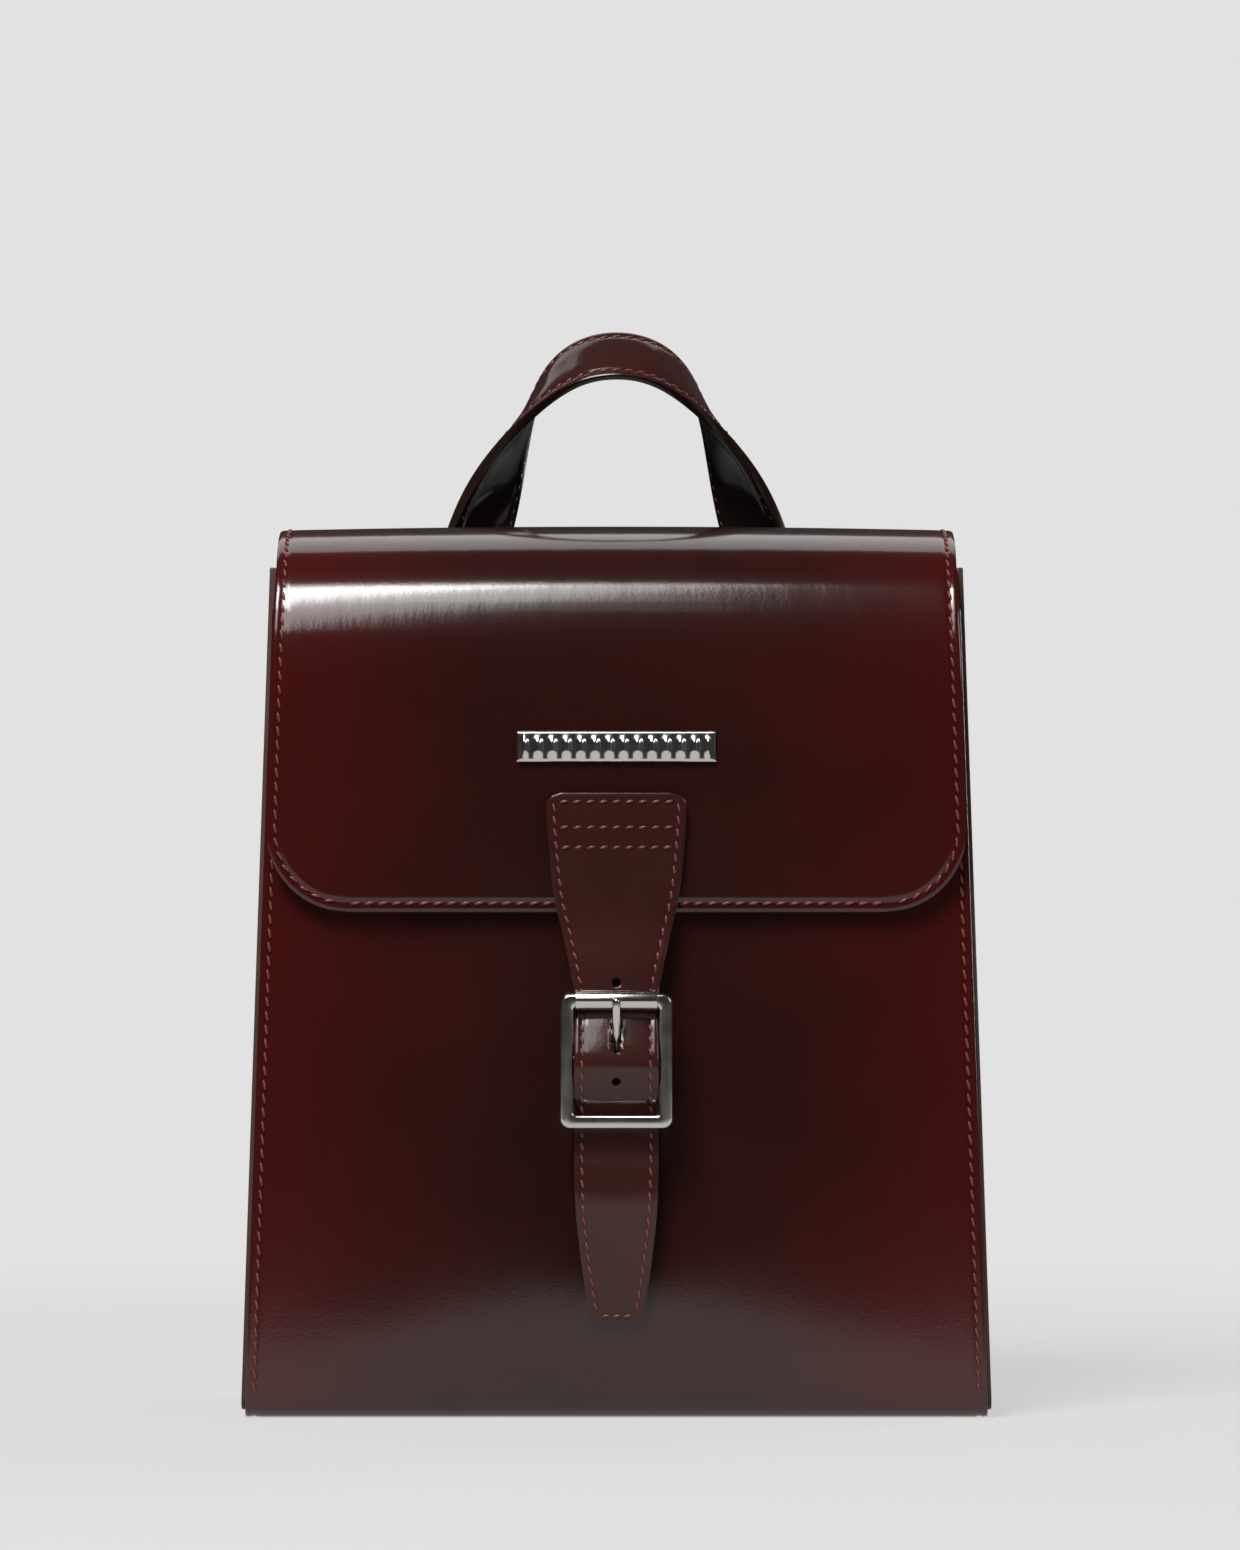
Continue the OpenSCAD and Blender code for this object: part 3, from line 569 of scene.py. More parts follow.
back_panel = sheet_piece("back_panel_leather", front_us, range(len(back_line)), place_back,
                         ((0, 0.045, 0.1), (0, 1, 0)), LEATHER_T, red_sheet)
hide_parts("back_panel")
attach(back_panel, "root")
back_rows = seam_rows(back_line, back_sides, 8 * MM, BACK_EDGE_Z - 2 * MM)
back_rows.append([((x * MM, back_line[1].x + 0.1 * MM, 8.6 * MM), (0, 1, 0))
                  for x in range(-100, 101, 10)])
back_stitches = stitches("back_panel_stitches", back_rows, thread)
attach(back_stitches, "root")

# ---- Lining and base board ----
# A bag of woven cloth inside: one long cloth for the front, base and back, and a cloth for each
# side. Its top edges are turned in and sewn to the leather. A fibre board stiffens the base.
LINING_T = 0.8 * MM
LINING_D = 3.9 * MM
INSIDE_D = 7.8 * MM
FLOOR_Z = 6.1 * MM


def cloth_material(name, dark, light, scale):
    """Plain woven cloth: fine threads each way, one over the other."""
    material, tree, spot = new_material(name)
    across, along = [add_node(tree, "ShaderNodeTexWave", {
        "Scale": scale, "Distortion": 0.6, "Vector": spot}, bands_direction=direction)
        for direction in ("X", "Z")]
    weave = add_node(tree, "ShaderNodeMath", {
        0: across.outputs["Fac"], 1: along.outputs["Fac"]}, operation="MULTIPLY")
    ramp = add_node(tree, "ShaderNodeValToRGB", {"Fac": weave.outputs[0]})
    ramp.color_ramp.elements[0].color = (*dark, 1)
    ramp.color_ramp.elements[1].color = (*light, 1)
    bump = add_node(tree, "ShaderNodeBump", {
        "Strength": 0.15, "Distance": 0.2 * MM, "Height": weave.outputs[0]})
    feed(tree, tree.nodes["Principled BSDF"], {
        "Base Color": ramp.outputs["Color"], "Roughness": 0.85, "Sheen Weight": 0.25,
        "Normal": bump.outputs["Normal"]})
    return material


lining_cloth = cloth_material("lining_cloth", (0.055, 0.042, 0.040), (0.085, 0.068, 0.064), 750)
lining_front_y = front_y(0) + LINING_D + 0.4 * MM
lining_section = even(
    [(front_y(z * MM) + LINING_D, z * MM) for z in range(225, 12, -6)]
    + [(lining_front_y, 9 * MM), (lining_front_y + 3 * MM, FLOOR_Z)]
    + [(back_y(0) - LINING_D - 3.4 * MM, FLOOR_Z), (back_y(0) - LINING_D - 0.4 * MM, 9 * MM)]
    + [(back_y(z * MM) - LINING_D, z * MM) for z in range(12, 234, 6)], 4 * MM)
lining_sides = left_of(lining_section)


def place_lining(u, v):
    spot, side = lining_section[v], lining_sides[v]
    x = u * (half_w(spot.y) - INSIDE_D - 0.2 * MM)
    wave = 0.25 * MM * math.sin(spot.y * 95 + x * 40) * smooth(spot.y / 0.1)
    return Vector((x, spot.x + side.x * (wave + 0.2 * MM), spot.y + side.y * (wave + 0.2 * MM)))


lining = sheet_piece("lining_body_cloth", [i / 20 for i in range(-20, 21)],
                     range(len(lining_section)), place_lining,
                     ((0, -0.04, 0.1), (0, -1, 0)), LINING_T, [lining_cloth] * 3, bevel=0)
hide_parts("lining_front", "lining_base", "lining_back")
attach(lining, "root")


def place_side_lining(side):
    def place(u, v):
        z = FLOOR_Z + 0.9 * MM + v * (mouth_line(0) - 3 * MM - FLOOR_Z)
        depth = front_y(z) + LINING_D + 1 * MM
        width = back_y(z) - LINING_D - 1 * MM - depth
        y = depth + u * width
        z = min(z, mouth_line(y) - 2.2 * MM)
        inset = INSIDE_D + side_sag(1 - abs(2 * u - 1), z) + 0.15 * MM
        return Vector((side * (half_w(z) - inset), y, z))
    return place


for side, name in ((-1, "left"), (1, "right")):
    side_lining = sheet_piece("lining_" + name + "_cloth", [i / 16 for i in range(17)],
                              [i / 44 for i in range(45)], place_side_lining(side),
                              ((side * 0.09, 0, 0.12), (side, 0, 0)), LINING_T,
                              [lining_cloth] * 3, bevel=0)
    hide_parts("lining_" + name)
    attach(side_lining, "root")


def finish_node(node, material):
    """Gives a CAD piece its finish."""
    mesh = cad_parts[node].data
    mesh.materials.clear()
    mesh.materials.append(material)


board_material, tree, spot = new_material("fibre_board")
fibres = add_node(tree, "ShaderNodeTexNoise", {"Scale": 400, "Detail": 6, "Vector": spot})
ramp = add_node(tree, "ShaderNodeValToRGB", {"Fac": fibres.outputs["Fac"]})
ramp.color_ramp.elements[0].color = (0.30, 0.23, 0.15, 1)
ramp.color_ramp.elements[1].color = (0.50, 0.42, 0.30, 1)
feed(tree, tree.nodes["Principled BSDF"], {"Base Color": ramp.outputs["Color"], "Roughness": 0.9})
finish_node("base_board", board_material)

# ---- Slip pocket ----
# A leather pocket on the back lining, with a cloth gusset round its sides and foot.
POCKET_LOW = 97 * MM
POCKET_HIGH = 192 * MM
POCKET_HALF_W = 60 * MM


def pocket_y(z, out):
    return back_y(z) - 4.7 * MM - out


def place_pocket(u, v):
    edge = min(POCKET_HALF_W - abs(u), v - POCKET_LOW, POCKET_HIGH - v)
    return Vector((u, pocket_y(v, 7.1 * MM) + groove(edge), v))


pocket_us = stations(-POCKET_HALF_W, POCKET_HALF_W, 4 * MM)
pocket_vs = stations(POCKET_LOW, POCKET_HIGH, 4 * MM)
pocket = sheet_piece("pocket_leather", pocket_us, pocket_vs, place_pocket,
                     ((0, 0.03, 0.14), (0, -1, 0)), 0.9 * MM, dark_sheet)
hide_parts("pocket_panel")
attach(pocket, "root")
top_row_z = POCKET_HIGH - STITCH_IN
pocket_rows = [[((x * MM, pocket_y(top_row_z, 7.2 * MM), top_row_z), (0, -1, 0))
                for x in range(-57, 58, 6)]]
for s in (-1, 1):
    pocket_rows.append([((s * (POCKET_HALF_W - STITCH_IN), pocket_y(z * MM, 7.2 * MM), z * MM),
                         (0, -1, 0)) for z in range(100, 190, 6)])
pocket_stitches = stitches("pocket_stitches", pocket_rows, thread, lean=0)
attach(pocket_stitches, "root")
gusset_path = even([(-57.5 * MM, 186 * MM), (-57.5 * MM, 104 * MM), (-53 * MM, 99.5 * MM),
                    (53 * MM, 99.5 * MM), (57.5 * MM, 104 * MM), (57.5 * MM, 186 * MM)], 3 * MM)


def place_pocket_gusset(u, v):
    spot = gusset_path[v]
    fold = 1.6 * MM * math.sin(math.pi * u)
    across = Vector((spot.x / (57.5 * MM), (spot.y - 150 * MM) / (50.5 * MM))) * fold
    across.y = min(across.y, 0) if spot.y < 101 * MM else 0
    return Vector((spot.x - across.x, pocket_y(spot.y, (0.2 + 5.7 * u) * MM), spot.y - across.y))


pocket_gusset = sheet_piece("pocket_gusset_cloth", [i / 10 for i in range(11)],
                            range(len(gusset_path)), place_pocket_gusset,
                            ((-0.0565, 0.035, 0.14), (-1, 0, 0)), 0.8 * MM, [lining_cloth] * 3,
                            bevel=0)
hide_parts("pocket_gusset")
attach(pocket_gusset, "root")

# ---- Flap ----
# One piece of the same leather, sewn low on the back, that runs over the mouth in a full curve
# and down the front. It is lined with cloth and stitched all round its edge.
FLAP_END_Z = 142.5 * MM
FLAP_LOW_BACK_Z = 190 * MM
FLAP_CORNER_R = 24 * MM
REAR_CORNER_R = 4 * MM
FLAP_T = 1.4 * MM
FLAP_STAND = 2.3 * MM


def bezier(points, share):
    points = [Vector(p) for p in points]
    while len(points) > 1:
        points = [a.lerp(b, share) for a, b in zip(points, points[1:])]
    return points[0]


rear_bend = (27.4 * MM, 236 * MM)
flap_top = [(27.4, 250), (-36.0, 256), (-48.6, 240), (-48.6, 200)]
flap_front = [(-48.6, 200), (-48.6, 181), (-47.79, 162), (-47.13, 142.5)]
flap_points = ([(back_y(FLAP_LOW_BACK_Z) + FLAP_STAND, FLAP_LOW_BACK_Z)]
               + arc(rear_bend, 14 * MM, 0, 90, 16)
               + [bezier(flap_top, i / 40) * MM for i in range(1, 41)]
               + [bezier(flap_front, i / 20) * MM for i in range(1, 21)])
fine_line = even(flap_points, 0.7 * MM)
corner_rows = round(27 / 0.7)
flap_line = fine_line[:-corner_rows:4] + fine_line[-corner_rows:]
flap_sides = left_of(flap_line)


def rounded(half, beyond, radius):
    """Half width of an outline with rounded corners, at a distance from its end."""
    if beyond >= radius:
        return half
    return half - radius + math.sqrt(max(radius ** 2 - (radius - beyond) ** 2, 0))


def edge_distance(x, half, beyond, radius):
    """Distance from a point to an outline with rounded corners."""
    across, along = abs(x) - (half - radius), radius - beyond
    if across > 0 and along > 0:
        return radius - math.hypot(across, along)
    return min(half - abs(x), beyond)


def flap_beyond(spot):
    """Distance from the flap's nearer end."""
    if spot.x < 0:
        return spot.y - FLAP_END_Z
    return spot.y - FLAP_LOW_BACK_Z + (0.2 if spot.y > 0.237 else 0)


def flap_half(z):
    return half_w(min(z, MOUTH_Z)) - 2 * MM


def flap_swell(x, half, spot):
    """How far the flap's upper front stands out, most of all in its middle."""
    share = smooth((spot.y - 0.2) / 0.045) * smooth((0.036 - spot.x) / 0.02)
    return 1.1 * MM * share * (1 - (x / half) ** 2)


def place_flap(inset, depth, sunk):
    def place(u, v):
        spot, side = flap_line[v], flap_sides[v]
        half = flap_half(spot.y) - inset
        beyond = flap_beyond(spot) - (inset if spot.x < 0 else 0)
        radius = FLAP_CORNER_R - inset if spot.x < 0 else REAR_CORNER_R
        x = u * rounded(half, max(beyond, 0), radius)
        out = flap_swell(x, half, spot) - depth
        if sunk:
            out -= groove(edge_distance(x, half, max(beyond, 0), radius))
        down = min(beyond, 0)
        return Vector((x, spot.x - side.x * out, spot.y - side.y * out - down))
    return place


flap_us = [u / 98 / MM for u in stations(-98 * MM, 98 * MM, 3 * MM, 0.7 * MM, 9 * MM)]
flap_leather = sheet_piece("flap_leather", flap_us, range(len(flap_line)),
                           place_flap(0, 0, True), ((0, -0.048, 0.18), (0, -1, 0)), FLAP_T,
                           red_sheet)
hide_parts("flap", "flap_rear")


def bend_at_hinge(piece):
    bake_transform(piece)


bend_at_hinge(flap_leather)
lining_us = [i / 24 for i in range(-24, 25)]
flap_cloth = sheet_piece("flap_lining_cloth", lining_us, range(len(flap_line)),
                         place_flap(1.2 * MM, FLAP_T + 0.03 * MM, False),
                         ((0, -0.047, 0.18), (0, -1, 0)), 0.75 * MM, [lining_cloth] * 3, bevel=0)
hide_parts("flap_lining")
bend_at_hinge(flap_cloth)


def flap_surface(x, spot, side):
    """A point in the sewn groove of the flap's face, and the way the face looks there."""
    return stitch_spot(x, spot, side, flap_swell(x, flap_half(spot.y), spot) - 0.08 * MM)


flap_rows = []
for s in (-1, 1):
    row = []
    for spot, side in zip(flap_line, flap_sides):
        beyond = flap_beyond(spot)
        if beyond > STITCH_IN:
            radius = FLAP_CORNER_R if spot.x < 0 else REAR_CORNER_R
            reach = rounded(flap_half(spot.y) - STITCH_IN, beyond - STITCH_IN, radius - STITCH_IN)
            row.append(flap_surface(s * reach, spot, side))
    flap_rows.append(row)
for end in (0, -1):
    spot, side = flap_line[end], flap_sides[end]
    half = flap_half(spot.y) - (FLAP_CORNER_R if end else REAR_CORNER_R)
    up = Vector((0, STITCH_IN))
    flap_rows.append([flap_surface(half * i / 10, spot + up, side) for i in range(-10, 11)])
flap_stitches = stitches("flap_stitches", flap_rows, thread)
bend_at_hinge(flap_stitches)

# ---- Front bar ----
# A small cast bar with upright flutes, nickel plated and polished, held by two pins that go
# through the flap to washers inside it.
BADGE_Z = 189 * MM
BADGE_HALF_W = 28 * MM
BADGE_HALF_H = 4.3 * MM
BADGE_FACE_Y = -50.0 * MM


def metal_material(name, colour, roughness):
    """Plated and polished metal, with the faint ripple and fine scratches of use."""
    material, tree, spot = new_material(name)
    wear = add_node(tree, "ShaderNodeTexNoise", {"Scale": 240, "Detail": 8, "Vector": spot})
    rough = add_node(tree, "ShaderNodeMapRange", {
        "To Min": roughness * 0.7, "To Max": roughness * 1.5, "Value": wear.outputs["Fac"]})
    bump = add_node(tree, "ShaderNodeBump", {
        "Strength": 0.05, "Distance": 0.2 * MM, "Height": wear.outputs["Fac"]})
    feed(tree, tree.nodes["Principled BSDF"], {
        "Base Color": (*colour, 1), "Metallic": 1, "Roughness": rough.outputs["Result"],
        "Normal": bump.outputs["Normal"]})
    return material


nickel = metal_material("polished_nickel", (0.62, 0.59, 0.56), 0.16)


def place_badge(u, v):
    edge = min(BADGE_HALF_W - abs(u), BADGE_HALF_H - abs(v))
    flute = math.sin(math.pi * u / (4 * MM)) ** 2
    inside = smooth((BADGE_HALF_H - abs(v) - 0.7 * MM) / (2.6 * MM))
    inside *= smooth((BADGE_HALF_W - abs(u) - 1.6 * MM) / (0.5 * MM))
    out = 0.9 * MM * flute * inside - 0.5 * MM * math.exp(-max(edge, 0) / (0.3 * MM))
    return Vector((u, BADGE_FACE_Y - out, BADGE_Z + v))


badge_us = [-BADGE_HALF_W + 56 * MM * i / 224 for i in range(225)]
badge_vs = [-BADGE_HALF_H + 8.6 * MM * i / 34 for i in range(35)]
badge = sheet_piece("front_bar", badge_us, badge_vs, place_badge,
                    ((0, -0.051, 0.189), (0, -1, 0)), 1.35 * MM, [nickel], bevel=0.2 * MM)
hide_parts("badge")
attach(badge, "flap")
finish_node("badge_washers", nickel)

# ---- Closure strap ----
# Two plies of leather sewn round the edge, with painted edges. Its wide head is sewn to the
# flap. Below the flap it weaves behind the roller, over the centre bar and behind the low bar.
STRAP_T = 2.2 * MM
STRAP_TOP_Z = 176 * MM
STRAP_TIP_Z = 27 * MM


def through(points, steps):
    """A smooth line through the points."""
    points = [Vector(p) for p in points]
    line = []
    for i in range(len(points) - 1):
        a, b, c = points[max(i - 1, 0)], points[i], points[i + 1]
        d = points[min(i + 2, len(points) - 1)]
        for k in range(steps):
            t = k / steps
            line.append(0.5 * (2 * b + (c - a) * t + (2 * a - 5 * b + 4 * c - d) * t * t
                               + (3 * b - a - 3 * c + d) * t * t * t))
    return line + [points[-1]]


strap_knots = [(-49.69, 176), (-49.17, 159.25), (-48.78, 141.5), (-51.08, 128.2),
               (-53.02, 117.95), (-56.42, 109.5), (-59.02, 102), (-58.82, 97), (-56.82, 91.5),
               (-54.02, 87.55), (-53.17, 83.05), (-53.02, 72.05), (-52.62, 55.05), (-47.95, 27)]
strap_line = even([p * MM for p in through(strap_knots, 10)], 0.8 * MM)
strap_sides = left_of(strap_line)
strap_width = through([(19.1, 176), (19.7, 172), (19.1, 161.5), (17.55, 147), (14.95, 135.4),
                       (12.6, 123.8), (11.8, 114.95), (11.8, 68), (10.2, 47), (7.7, 30),
                       (7.3, 27)], 8)


def strap_half(z):
    for a, b in zip(strap_width, strap_width[1:]):
        if b.y * MM <= z:
            share = (a.y * MM - z) / max((a.y - b.y) * MM, 1e-9)
            return (a.x + (b.x - a.x) * min(max(share, 0), 1)) * MM
    return strap_width[-1].x * MM


def strap_beyond(z):
    upper, lower = STRAP_TOP_Z - z, z - STRAP_TIP_Z
    return (upper, 3.5 * MM) if upper < lower else (lower, 2 * MM)


def place_strap(u, v):
    spot, side = strap_line[v], strap_sides[v]
    half = strap_half(spot.y)
    beyond, radius = strap_beyond(spot.y)
    x = u * rounded(half, max(beyond, 0), radius)
    edge = edge_distance(x, half, max(beyond, 0), radius)
    crown = 0.25 * MM * smooth(edge / (9 * MM))
    out = STRAP_T / 2 - groove(edge, 2.2 * MM, 0.22 * MM) + crown
    return off_line(x, spot, side, out)


strap_us = [u / 19 / MM for u in stations(-19 * MM, 19 * MM, 0.8 * MM, 0.55 * MM, 5 * MM)]
strap_holes = [((0, 122.9 * MM), 1.3 * MM), ((0, 95.1 * MM), 1.3 * MM)]
strap_holes += [((0, z * MM), 1.7 * MM) for z in (105, 106.9, 108.8, 110.6)]
strap = sheet_piece("closure_strap_leather", strap_us, range(len(strap_line)), place_strap,
                    ((0.006, -0.052, 0.14), (0, -1, 0)), STRAP_T,
                    [strap_leather, edge_paint, flesh_side], holes=strap_holes)
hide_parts("strap_head", "closure_strap")


def bend_below_flap(piece):
    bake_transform(piece)


bend_below_flap(strap)
strap_rows = []
for s in (-1, 1):
    row = []
    for spot, side in zip(strap_line, strap_sides):
        if 29.5 * MM < spot.y < 173.6 * MM:
            x = s * (strap_half(spot.y) - 2.2 * MM)
            row.append(stitch_spot(x, spot, side, STRAP_T / 2 - 0.05 * MM))
    strap_rows.append(row)
for z in (173.3, 166, 161, 29.6):
    v = min(range(len(strap_line)), key=lambda i: abs(strap_line[i].y - z * MM))
    spot, side = strap_line[v], strap_sides[v]
    half = strap_half(spot.y) - 3 * MM
    strap_rows.append([stitch_spot(half * i / 6, spot, side, STRAP_T / 2 + 0.12 * MM)
                       for i in range(-6, 7)])
strap_stitches = stitches("closure_strap_stitches", strap_rows, thread, pitch=3.5 * MM,
                          length=2.6 * MM)
bend_below_flap(strap_stitches)

# ---- Buckle ----
# A cast nickel frame with a centre bar for the prong and a roller on its top bar. A short
# folded strap, the chape, goes round the centre bar and is sewn behind the closure strap.
BUCKLE_Z = 101 * MM
FRAME_Y = -57.42 * MM
CENTRE_BAR_Y = -55.02 * MM
TOP_BAR_Z = 117.95 * MM
BAR_T = 3.8 * MM
FRAME_HALF_W = 15.75 * MM
FRAME_HALF_H = 18.85 * MM


def joined(name, parts, materials):
    """One piece from several meshes that stand in their places."""
    bm = bmesh.new()
    for part in parts:
        bm.from_mesh(part)
        bpy.data.meshes.remove(part)
    return add_object(name, mesh_from(bm, name), materials)


def round_rims(bm, sharp, offset, segments):
    """Rounds off each edge whose two faces turn by more than the angle sharp."""
    bmesh.ops.recalc_face_normals(bm, faces=bm.faces)
    rims = [e for e in bm.edges if len(e.link_faces) == 2 and e.calc_face_angle(0) > sharp]
    bmesh.ops.bevel(bm, geom=rims, offset=offset, segments=segments, profile=0.5, affect="EDGES",
                    material=-1)


def bar_mesh(radius, low, high, inner=0, bevel=0.3 * MM, segments=40):
    """A round bar or tube along x between two ends, at the origin's y and z."""
    bm = bmesh.new()
    bmesh.ops.create_cone(bm, cap_ends=True, segments=segments, radius1=radius, radius2=radius,
                          depth=high - low, matrix=Matrix.Rotation(math.radians(90), 4, "Y"))
    caps = [f for f in bm.faces if abs(f.normal.x) > 0.9]
    if inner:
        bmesh.ops.inset_region(bm, faces=caps, thickness=radius - inner)
        ends = [f for f in bm.faces if abs(f.normal.x) > 0.9 and len(f.verts) == segments]
        loops = [e for f in ends for e in f.edges]
        bmesh.ops.delete(bm, geom=ends, context="FACES_ONLY")
        bmesh.ops.bridge_loops(bm, edges=loops)
    round_rims(bm, 1, bevel, 3)
    bmesh.ops.translate(bm, vec=((low + high) / 2, 0, 0), verts=bm.verts)
    return mesh_from(bm, "bar")


def moved(mesh, x, y, z):
    mesh.transform(Matrix.Translation((x, y, z)))
    return mesh


bm = bmesh.new()
for half_w_here, half_h_here, corner_r in ((FRAME_HALF_W, FRAME_HALF_H, 2.8 * MM),
                                           (FRAME_HALF_W - BAR_T, FRAME_HALF_H - BAR_T, 0.8 * MM)):
    corners = bmesh.ops.create_grid(bm, x_segments=1, y_segments=1, size=1,
                                    matrix=Matrix.Rotation(math.radians(90), 4, "X"))["verts"]
    bmesh.ops.scale(bm, vec=(half_w_here, 1, half_h_here), verts=corners)
    bmesh.ops.bevel(bm, geom=corners, offset=corner_r, segments=6, profile=0.5,
                    affect="VERTICES")
bmesh.ops.delete(bm, geom=bm.faces[:], context="FACES_ONLY")
bmesh.ops.bridge_loops(bm, edges=bm.edges[:])
bmesh.ops.translate(bm, vec=(0, FRAME_Y + BAR_T / 2, BUCKLE_Z), verts=bm.verts)
walls = bmesh.ops.extrude_face_region(bm, geom=bm.faces[:])
front = [v for v in walls["geom"] if isinstance(v, bmesh.types.BMVert)]
bmesh.ops.translate(bm, vec=(0, -BAR_T, 0), verts=front)
round_rims(bm, 1.2, 1.0 * MM, 4)
frame_mesh = mesh_from(bm, "frame")
centre_bar = moved(bar_mesh(1.3 * MM, -13 * MM, 13 * MM, bevel=0.2 * MM), 0, CENTRE_BAR_Y,
                   BUCKLE_Z)
buckle_frame = joined("buckle_frame_cast", [frame_mesh, centre_bar], [nickel])
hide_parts("buckle_frame")
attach(buckle_frame, "strap")

roller = joined("buckle_roller_tube", [moved(bar_mesh(2.9 * MM, -11.4 * MM, 11.4 * MM,
                                                      inner=2.75 * MM, bevel=0.05 * MM), 0,
                                             FRAME_Y, TOP_BAR_Z)], [nickel])
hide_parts("buckle_roller")
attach(roller, "roller")


def tube_mesh(name, points, radii, closed=False):
    """A round wire along points, with its own radius at each."""
    curve = bpy.data.curves.new(name, "CURVE")
    curve.dimensions = "3D"
    curve.bevel_depth = 1
    curve.bevel_resolution = 5
    curve.use_fill_caps = not closed
    spline = curve.splines.new("POLY")
    spline.points.add(len(points) - 1)
    for knot, point, radius in zip(spline.points, points, radii):
        knot.co = (*point, 1)
        knot.radius = radius
    spline.use_cyclic_u = closed
    holder = bpy.data.objects.new(name, curve)
    bpy.context.scene.collection.objects.link(holder)
    mesh = bpy.data.meshes.new_from_object(holder)
    bpy.data.objects.remove(holder)
    bpy.data.curves.remove(curve)
    bm = bmesh.new()
    bm.from_mesh(mesh)
    bmesh.ops.remove_doubles(bm, verts=bm.verts, dist=0.005 * MM)
    bmesh.ops.recalc_face_normals(bm, faces=bm.faces)
    bm.to_mesh(mesh)
    bm.free()
    return mesh


prong_knots = [(-55.6, 103.4), (-56.6, 106.2), (-58.4, 109.4), (-60.2, 112.2), (-61.3, 115.2),
               (-61.6, 117.4), (-61.4, 118.6)]
prong_line = [p * MM for p in through(prong_knots, 5)]
prong_radii = []
for i in range(len(prong_line)):
    left = (len(prong_line) - 1 - i) / 4
    prong_radii.append(1.25 * MM * math.sqrt(1 - max(0, 1 - left) ** 2 * 0.92)
                       * (0.86 + 0.14 * smooth(i / 8)))
prong_hub = moved(bar_mesh(2.4 * MM, -1.5 * MM, 1.5 * MM, inner=1.42 * MM, bevel=0.25 * MM), 0,
                  CENTRE_BAR_Y, BUCKLE_Z)
prong = joined("buckle_prong_cast",
               [tube_mesh("prong", [(0, p.x, p.y) for p in prong_line], prong_radii), prong_hub],
               [nickel])
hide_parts("buckle_prong")
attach(prong, "prong")

chape_line = even([Vector(p) * MM for p in
                   [(-51.12, 59.05), (-51.12, 88), (-52.67, 93), (-56.17, 97.5)]
                   + arc((-55.02, 101), 1.95, 180, 0, 12)
                   + [(-50.32, 94.5), (-49.82, 91), (-49.82, 59.05)]], 0.8 * MM)
chape_sides = left_of(chape_line)


def place_chape(u, v):
    spot, side = chape_line[v], chape_sides[v]
    out = 0.6 * MM - 0.2 * MM * math.exp(-(10 * MM - abs(u)) / (0.5 * MM))
    return off_line(u, spot, side, out)


chape = sheet_piece("buckle_chape_leather", stations(-10 * MM, 10 * MM, 1.5 * MM, 0.6 * MM, 3 * MM),
                    range(len(chape_line)), place_chape, ((0, -0.0518, 0.075), (0, -1, 0)),
                    1.2 * MM, dark_sheet,
                    cut=lambda spot: abs(spot.x) < 2.1 * MM and spot.z > 95 * MM,
                    bevel=0.2 * MM)
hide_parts("buckle_chape")
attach(chape, "strap")
chape_rows = [[((s * 7.8 * MM, -49.2 * MM, z * MM), (0, 1, 0)) for z in range(61, 92, 5)]
              for s in (-1, 1)]
chape_stitches = stitches("chape_stitches", chape_rows, thread)
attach(chape_stitches, "strap")

# ---- Magnetic snap ----
# A socket riveted through the front panel, with its plate inside, and a stud on the chape.
for node in ("snap_socket", "snap_backplate", "snap_stud"):
    finish_node(node, nickel)

# ---- Handle ----
# Two plies of leather sewn together, 20 mm wide. Its ends lie flat on the flap's back under a
# sewn patch. Each leg turns on its way up, so its outer edge comes to the front at the top.
HANDLE_HALF_W = 10 * MM
HANDLE_T = 2.8 * MM
HANDLE_Z = 235 * MM
HANDLE_Y = 43.325 * MM
HANDLE_FOOT_X = 44.5 * MM
HANDLE_TWIST = -131
FOOT_SLOPE = 12.5 / 42
PATCH_LOW = 198 * MM
PATCH_HIGH = 232 * MM
PATCH_HALF_W = 67 * MM
PATCH_CORNER_R = 8 * MM
SEWN_END = 62 * MM
handle_knots = [Vector(p) * MM for p in
                [(0, 27.325, 302.5), (24, 27.325, 302.5), (32.5, 43.325, 277),
                 (44.5, 43.325, 235)]]


def rear_y(z):
    return back_y(z) + FLAP_STAND


def handle_station(t):
    """Middle, width direction and outer face direction of the right half of the handle, from
    the top at 0 to the foot at 1, and on down the sewn end."""
    if t > 1:
        z = HANDLE_Z - (t - 1) * SEWN_END
        ease = smooth((t - 1) * 12)
        y = HANDLE_Y + (rear_y(z) + 1.5 * MM - HANDLE_Y) * ease
        middle = Vector((HANDLE_FOOT_X + (HANDLE_Z - z) * FOOT_SLOPE, y, z))
        return middle, Vector((1, 0, 0)), Vector((0, 1, 0))
    middle = bezier(handle_knots, t)
    run = (bezier(handle_knots, min(t + 0.01, 1)) - bezier(handle_knots, t - 0.01)).normalized()
    turn = math.radians(HANDLE_TWIST) * (1 - t * t) ** 1.4
    up = Vector((-run.z, 0, run.x * (1 - t ** 8))).normalized()
    out = up.cross(run).normalized()
    wide = math.cos(turn) * up + math.sin(turn) * out
    face = (math.cos(turn) * out - math.sin(turn) * up).normalized()
    return middle, wide, face


handle_ts = [i / 44 for i in range(44)] + [1 + 0.5 * i / 22 for i in range(23)]
handle_stations = [handle_station(t) for t in handle_ts]
flip = Vector((-1, 1, 1))
handle_full = [tuple(part * flip for part in station) for station in handle_stations[:0:-1]]
handle_full += handle_stations


